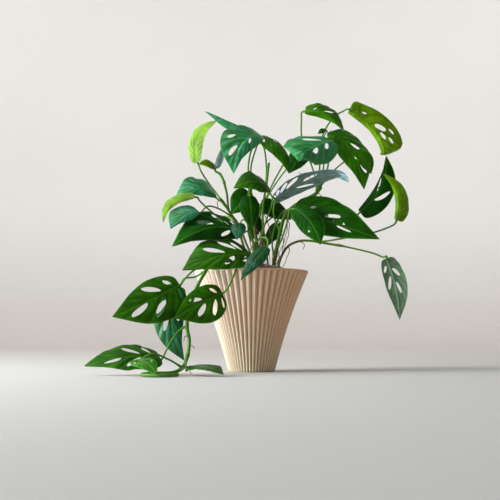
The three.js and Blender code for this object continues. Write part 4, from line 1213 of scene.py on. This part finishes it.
class LeafSettings(bpy.types.PropertyGroup):
    thickness: length("Thickness", "Thickness of the blades", 0.0006, min=0.0002, max=0.0008)
    quilting: share("Quilting", "How far the blade swells between its side veins, as a part of the "
                    "distance between them", 0.11, 0.0, 0.15)
    roughness: share("Roughness", "Roughness of the upper face", 0.3, 0.1, 0.9)
    wax_shine: share("Wax shine", "Strength of the shine on the waxy blades", 0.35, 0.0, 1.0)
    plain_shine: share("Plain shine", "Strength of the shine on the other blades", 0.07, 0.0, 1.0)
    deep: tone("Deep green", "Colour of the shaded old blades", (0.005, 0.062, 0.001))
    mid: tone("Mid green", "Colour of most blades", (0.032, 0.165, 0.001))
    teal: tone("Blue green", "Colour of the waxy blades", (0.013, 0.19, 0.032))
    # Painted sheen: the streaks along the side veins of the waxy blades are painted in this colour.
    wax: tone("Wax", "Colour of the wax along the veins of the waxy blades", (0.06, 0.33, 0.23))
    young: tone("Young green", "Colour of the newest blades", (0.2, 0.37, 0.035))
    olive: tone("Olive", "Colour of the yellowing blades", (0.16, 0.34, 0.004))
    pale: tone("Pale green", "Colour of the blade that shows its back", (0.14, 0.26, 0.06))
    grey: tone("Grey green", "Colour of the blades seen from below", (0.32, 0.52, 0.55))
    vein: tone("Veins", "Colour of the veins on the upper face", (0.13, 0.36, 0.03))
    warm: tone("Warm tint", "Colour that some blades lean to", (0.11, 0.25, 0.002))
    underside: tone("Underside", "Colour of the lower face", (0.13, 0.23, 0.16))


class StageSettings(bpy.types.PropertyGroup):
    backdrop: tone("Backdrop", "Colour of the backdrop", (0.8, 0.775, 0.745))
    floor: tone("Floor", "Colour of the floor", (0.64, 0.6, 0.56))
    lens: length("Lens", "Focal length of the camera", 0.0691, min=0.01)
    camera_distance: length("Camera distance", "From the camera to the middle of the pot", 1.2, min=0.3)
    camera_height: length("Camera height", "From the floor to the camera", 0.04625, min=0.0)
    camera_side: length("Camera side", "From the middle of the pot to the camera's right", -0.0019)
    camera_pitch: bpy.props.FloatProperty(
        name="Camera pitch", description="How far the camera looks up", default=math.radians(5.0),
        subtype="ANGLE", unit="ROTATION")
    key_power: power("Window light", "Power of the large light on the left", 50.0)
    ceiling_power: power("Ceiling light", "Power of the large light above", 10.5)
    fill_power: power("Fill light", "Power of the weak light on the right", 0.4)
    wall_power: power("Wall lights", "Mean power of the two lights that are turned to the backdrop", 10.3)
    sky_strength: bpy.props.FloatProperty(
        name="Sky strength", description="Brightness of the sky above the stage", default=0.1, min=0.0)


class PLANT_OT_pot(bpy.types.Operator):
    """Make the pleated clay pot"""

    bl_idname = "plant.pot"
    bl_label = "Pot"

    def execute(self, context):
        settings = context.scene.plant_pot
        build_pot(settings).piece("pleated_pot", pot_material(settings), "pot_clay", ["pot"], crease=40.0)
        return {"FINISHED"}


class PLANT_OT_soil(bpy.types.Operator):
    """Make the potting mix and the loose crumbs on it"""

    bl_idname = "plant.soil"
    bl_label = "Potting mix"

    def execute(self, context):
        settings = context.scene.plant_soil
        material = soil_material(settings)
        build_soil().piece("potting_soil", material, "potting_mix", ["soil"])
        build_grit(settings.crumbs).piece("loose_crumbs", material, "potting_mix")
        return {"FINISHED"}


class PLANT_OT_vines(bpy.types.Operator):
    """Make the stems with their leaf stalks and aerial roots"""

    bl_idname = "plant.vines"
    bl_label = "Stems"

    def execute(self, context):
        settings = context.scene.plant_vines
        material = stem_material(settings)
        for name, vine in VINES.items():
            place = name.removeprefix("vine_")
            build_vine(name, vine, settings).piece(f"stem_{place}", material, "vine_green", [name])
        return {"FINISHED"}


class LeafMaker:
    """What the operators that make leaves share: the starts of their leaves' names."""

    starts = ()

    def make(self, context):
        settings = context.scene.plant_leaves
        chosen = {name: leaf for name, leaf in LEAVES.items() if name.startswith(self.starts)}
        if not chosen:
            raise RuntimeError(f"no leaf's name starts with {self.starts}")
        for name, leaf in chosen.items():
            kind = leaf["tone"]
            material = bpy.data.materials.get(f"waxy_{kind}")
            material = material or leaf_material(kind, getattr(settings, kind), settings)
            build_blade(name, leaf, settings).piece(f"blade_{name}", material, f"leaf_{kind}",
                                                    [f"leaf_{name}"])
        return {"FINISHED"}


class PLANT_OT_crown_leaves(LeafMaker, bpy.types.Operator):
    """Make the leaves at the top and in the middle"""

    bl_idname = "plant.crown_leaves"
    bl_label = "Crown leaves"
    starts = ("crown_", "centre_")

    def execute(self, context):
        return self.make(context)


class PLANT_OT_left_leaves(LeafMaker, bpy.types.Operator):
    """Make the leaves on the left"""

    bl_idname = "plant.left_leaves"
    bl_label = "Left leaves"
    starts = ("left_",)

    def execute(self, context):
        return self.make(context)


class PLANT_OT_right_leaves(LeafMaker, bpy.types.Operator):
    """Make the leaves on the right"""

    bl_idname = "plant.right_leaves"
    bl_label = "Right leaves"
    starts = ("right_",)

    def execute(self, context):
        return self.make(context)


class PLANT_OT_trailing_leaves(LeafMaker, bpy.types.Operator):
    """Make the leaves that hang over the pot and trail beside it"""

    bl_idname = "plant.trailing_leaves"
    bl_label = "Trailing leaves"
    starts = ("front_", "trail_")

    def execute(self, context):
        return self.make(context)


class PLANT_OT_rear_leaves(LeafMaker, bpy.types.Operator):
    """Make the leaves at the back"""

    bl_idname = "plant.rear_leaves"
    bl_label = "Rear leaves"
    starts = ("rear_",)

    def execute(self, context):
        return self.make(context)


def add_light(name, place, target, size, power, colour):
    """A square soft light at a place, turned to a target."""
    data = bpy.data.lights.new(name, "AREA")
    data.shape = "SQUARE"
    data.size = size
    data.energy = power
    data.color = colour
    made = bpy.data.objects.new(name, data)
    made.location = place
    made.rotation_euler = (Vector(target) - Vector(place)).to_track_quat("-Z", "Y").to_euler()
    bpy.context.scene.collection.objects.link(made)


def add_floor(settings):
    """A round floor that curves up into a wall, in metres, facing in and up."""
    radius, curve, wall_height, sides = 2.0, 0.7, 2.2, 96
    profile = [(0.3 * radius, 0.0), (radius, 0.0)]
    profile += [(radius + curve * math.sin(turn), curve * (1 - math.cos(turn)))
                for turn in np.linspace(0.1, math.pi / 2, 12)]
    profile.append((radius + curve, wall_height))
    angles = np.linspace(0, math.tau, sides, endpoint=False)
    points = [(reach * math.cos(angle), reach * math.sin(angle), height)
              for reach, height in profile for angle in angles]
    faces = [(a, d, c, b) for a, b, c, d in side_faces(len(profile), sides)]
    faces.append(tuple(range(sides)))
    mesh = bpy.data.meshes.new("floor")
    mesh.from_pydata(points, [], faces)
    mesh.polygons.foreach_set("use_smooth", [True] * len(mesh.polygons))
    mesh.materials.append(stage_material(settings))
    floor = bpy.data.objects.new("floor", mesh)
    bpy.context.scene.collection.objects.link(floor)


class PLANT_OT_stage(bpy.types.Operator):
    """Make the pale floor with its raised edge, the lights and the camera"""

    bl_idname = "plant.stage"
    bl_label = "Stage"

    def execute(self, context):
        scene = context.scene
        settings = scene.plant_stage
        add_floor(settings)

        plant = (0.0, 0.0, 0.17)
        add_light("window_light", (-1.42, -0.5, 0.42), plant, 0.8, settings.key_power, (0.88, 0.95, 1.0))
        add_light("ceiling_light", (-0.55, -0.1, 1.5), plant, 1.2, settings.ceiling_power,
                  (0.84, 0.95, 1.0))
        add_light("fill_light", (1.3, -1.0, 0.6), plant, 1.2, settings.fill_power, (1.0, 0.96, 0.92))
        for side in (-1, 1):
            add_light("wall_light", (0.9 * side, 1.2, 1.7), (0.3 * side, 2.6, 0.4), 0.8,
                      settings.wall_power * (1 - 0.12 * side), (1.0, 0.98, 0.97))

        world = bpy.data.worlds.new("soft_sky")
        world.use_nodes = True
        sky = world.node_tree.nodes["Background"]
        sky.inputs["Color"].default_value = (0.93, 0.95, 1.0, 1.0)
        sky.inputs["Strength"].default_value = settings.sky_strength
        scene.world = world

        data = bpy.data.cameras.new("camera")
        data.sensor_width = 36.0
        data.lens = settings.lens / MM
        camera = bpy.data.objects.new("camera", data)
        camera.location = (settings.camera_side, -settings.camera_distance, settings.camera_height)
        camera.rotation_euler = (math.pi / 2 + settings.camera_pitch, 0.0, 0.0)
        scene.collection.objects.link(camera)
        scene.camera = camera
        scene.view_settings.view_transform = "Standard"
        return {"FINISHED"}


OPERATORS = (
    PLANT_OT_stage,
    PLANT_OT_pot,
    PLANT_OT_soil,
    PLANT_OT_vines,
    PLANT_OT_crown_leaves,
    PLANT_OT_left_leaves,
    PLANT_OT_right_leaves,
    PLANT_OT_trailing_leaves,
    PLANT_OT_rear_leaves,
)
SETTINGS = {
    "plant_pot": PotSettings,
    "plant_soil": SoilSettings,
    "plant_vines": VineSettings,
    "plant_leaves": LeafSettings,
    "plant_stage": StageSettings,
}


class PLANT_PT_sidebar(bpy.types.Panel):
    """The plant's pieces and their sizes and colours"""

    bl_idname = "PLANT_PT_sidebar"
    bl_label = "Swiss cheese vine"
    bl_space_type = "VIEW_3D"
    bl_region_type = "UI"
    bl_category = "Plant"

    def draw(self, context):
        for operator in OPERATORS:
            self.layout.operator(operator.bl_idname)
        for name, group in SETTINGS.items():
            box = self.layout.box()
            for field in group.__annotations__:
                box.prop(getattr(context.scene, name), field)


def register():
    for kind in (*SETTINGS.values(), *OPERATORS, PLANT_PT_sidebar):
        bpy.utils.register_class(kind)
    for name, group in SETTINGS.items():
        setattr(bpy.types.Scene, name, bpy.props.PointerProperty(type=group))


def unregister():
    for name in SETTINGS:
        delattr(bpy.types.Scene, name)
    for kind in reversed((*SETTINGS.values(), *OPERATORS, PLANT_PT_sidebar)):
        bpy.utils.unregister_class(kind)


def main():
    register()
    for operator in OPERATORS:
        group, name = operator.bl_idname.split(".")
        getattr(getattr(bpy.ops, group), name)()


if __name__ == "__main__":
    main()
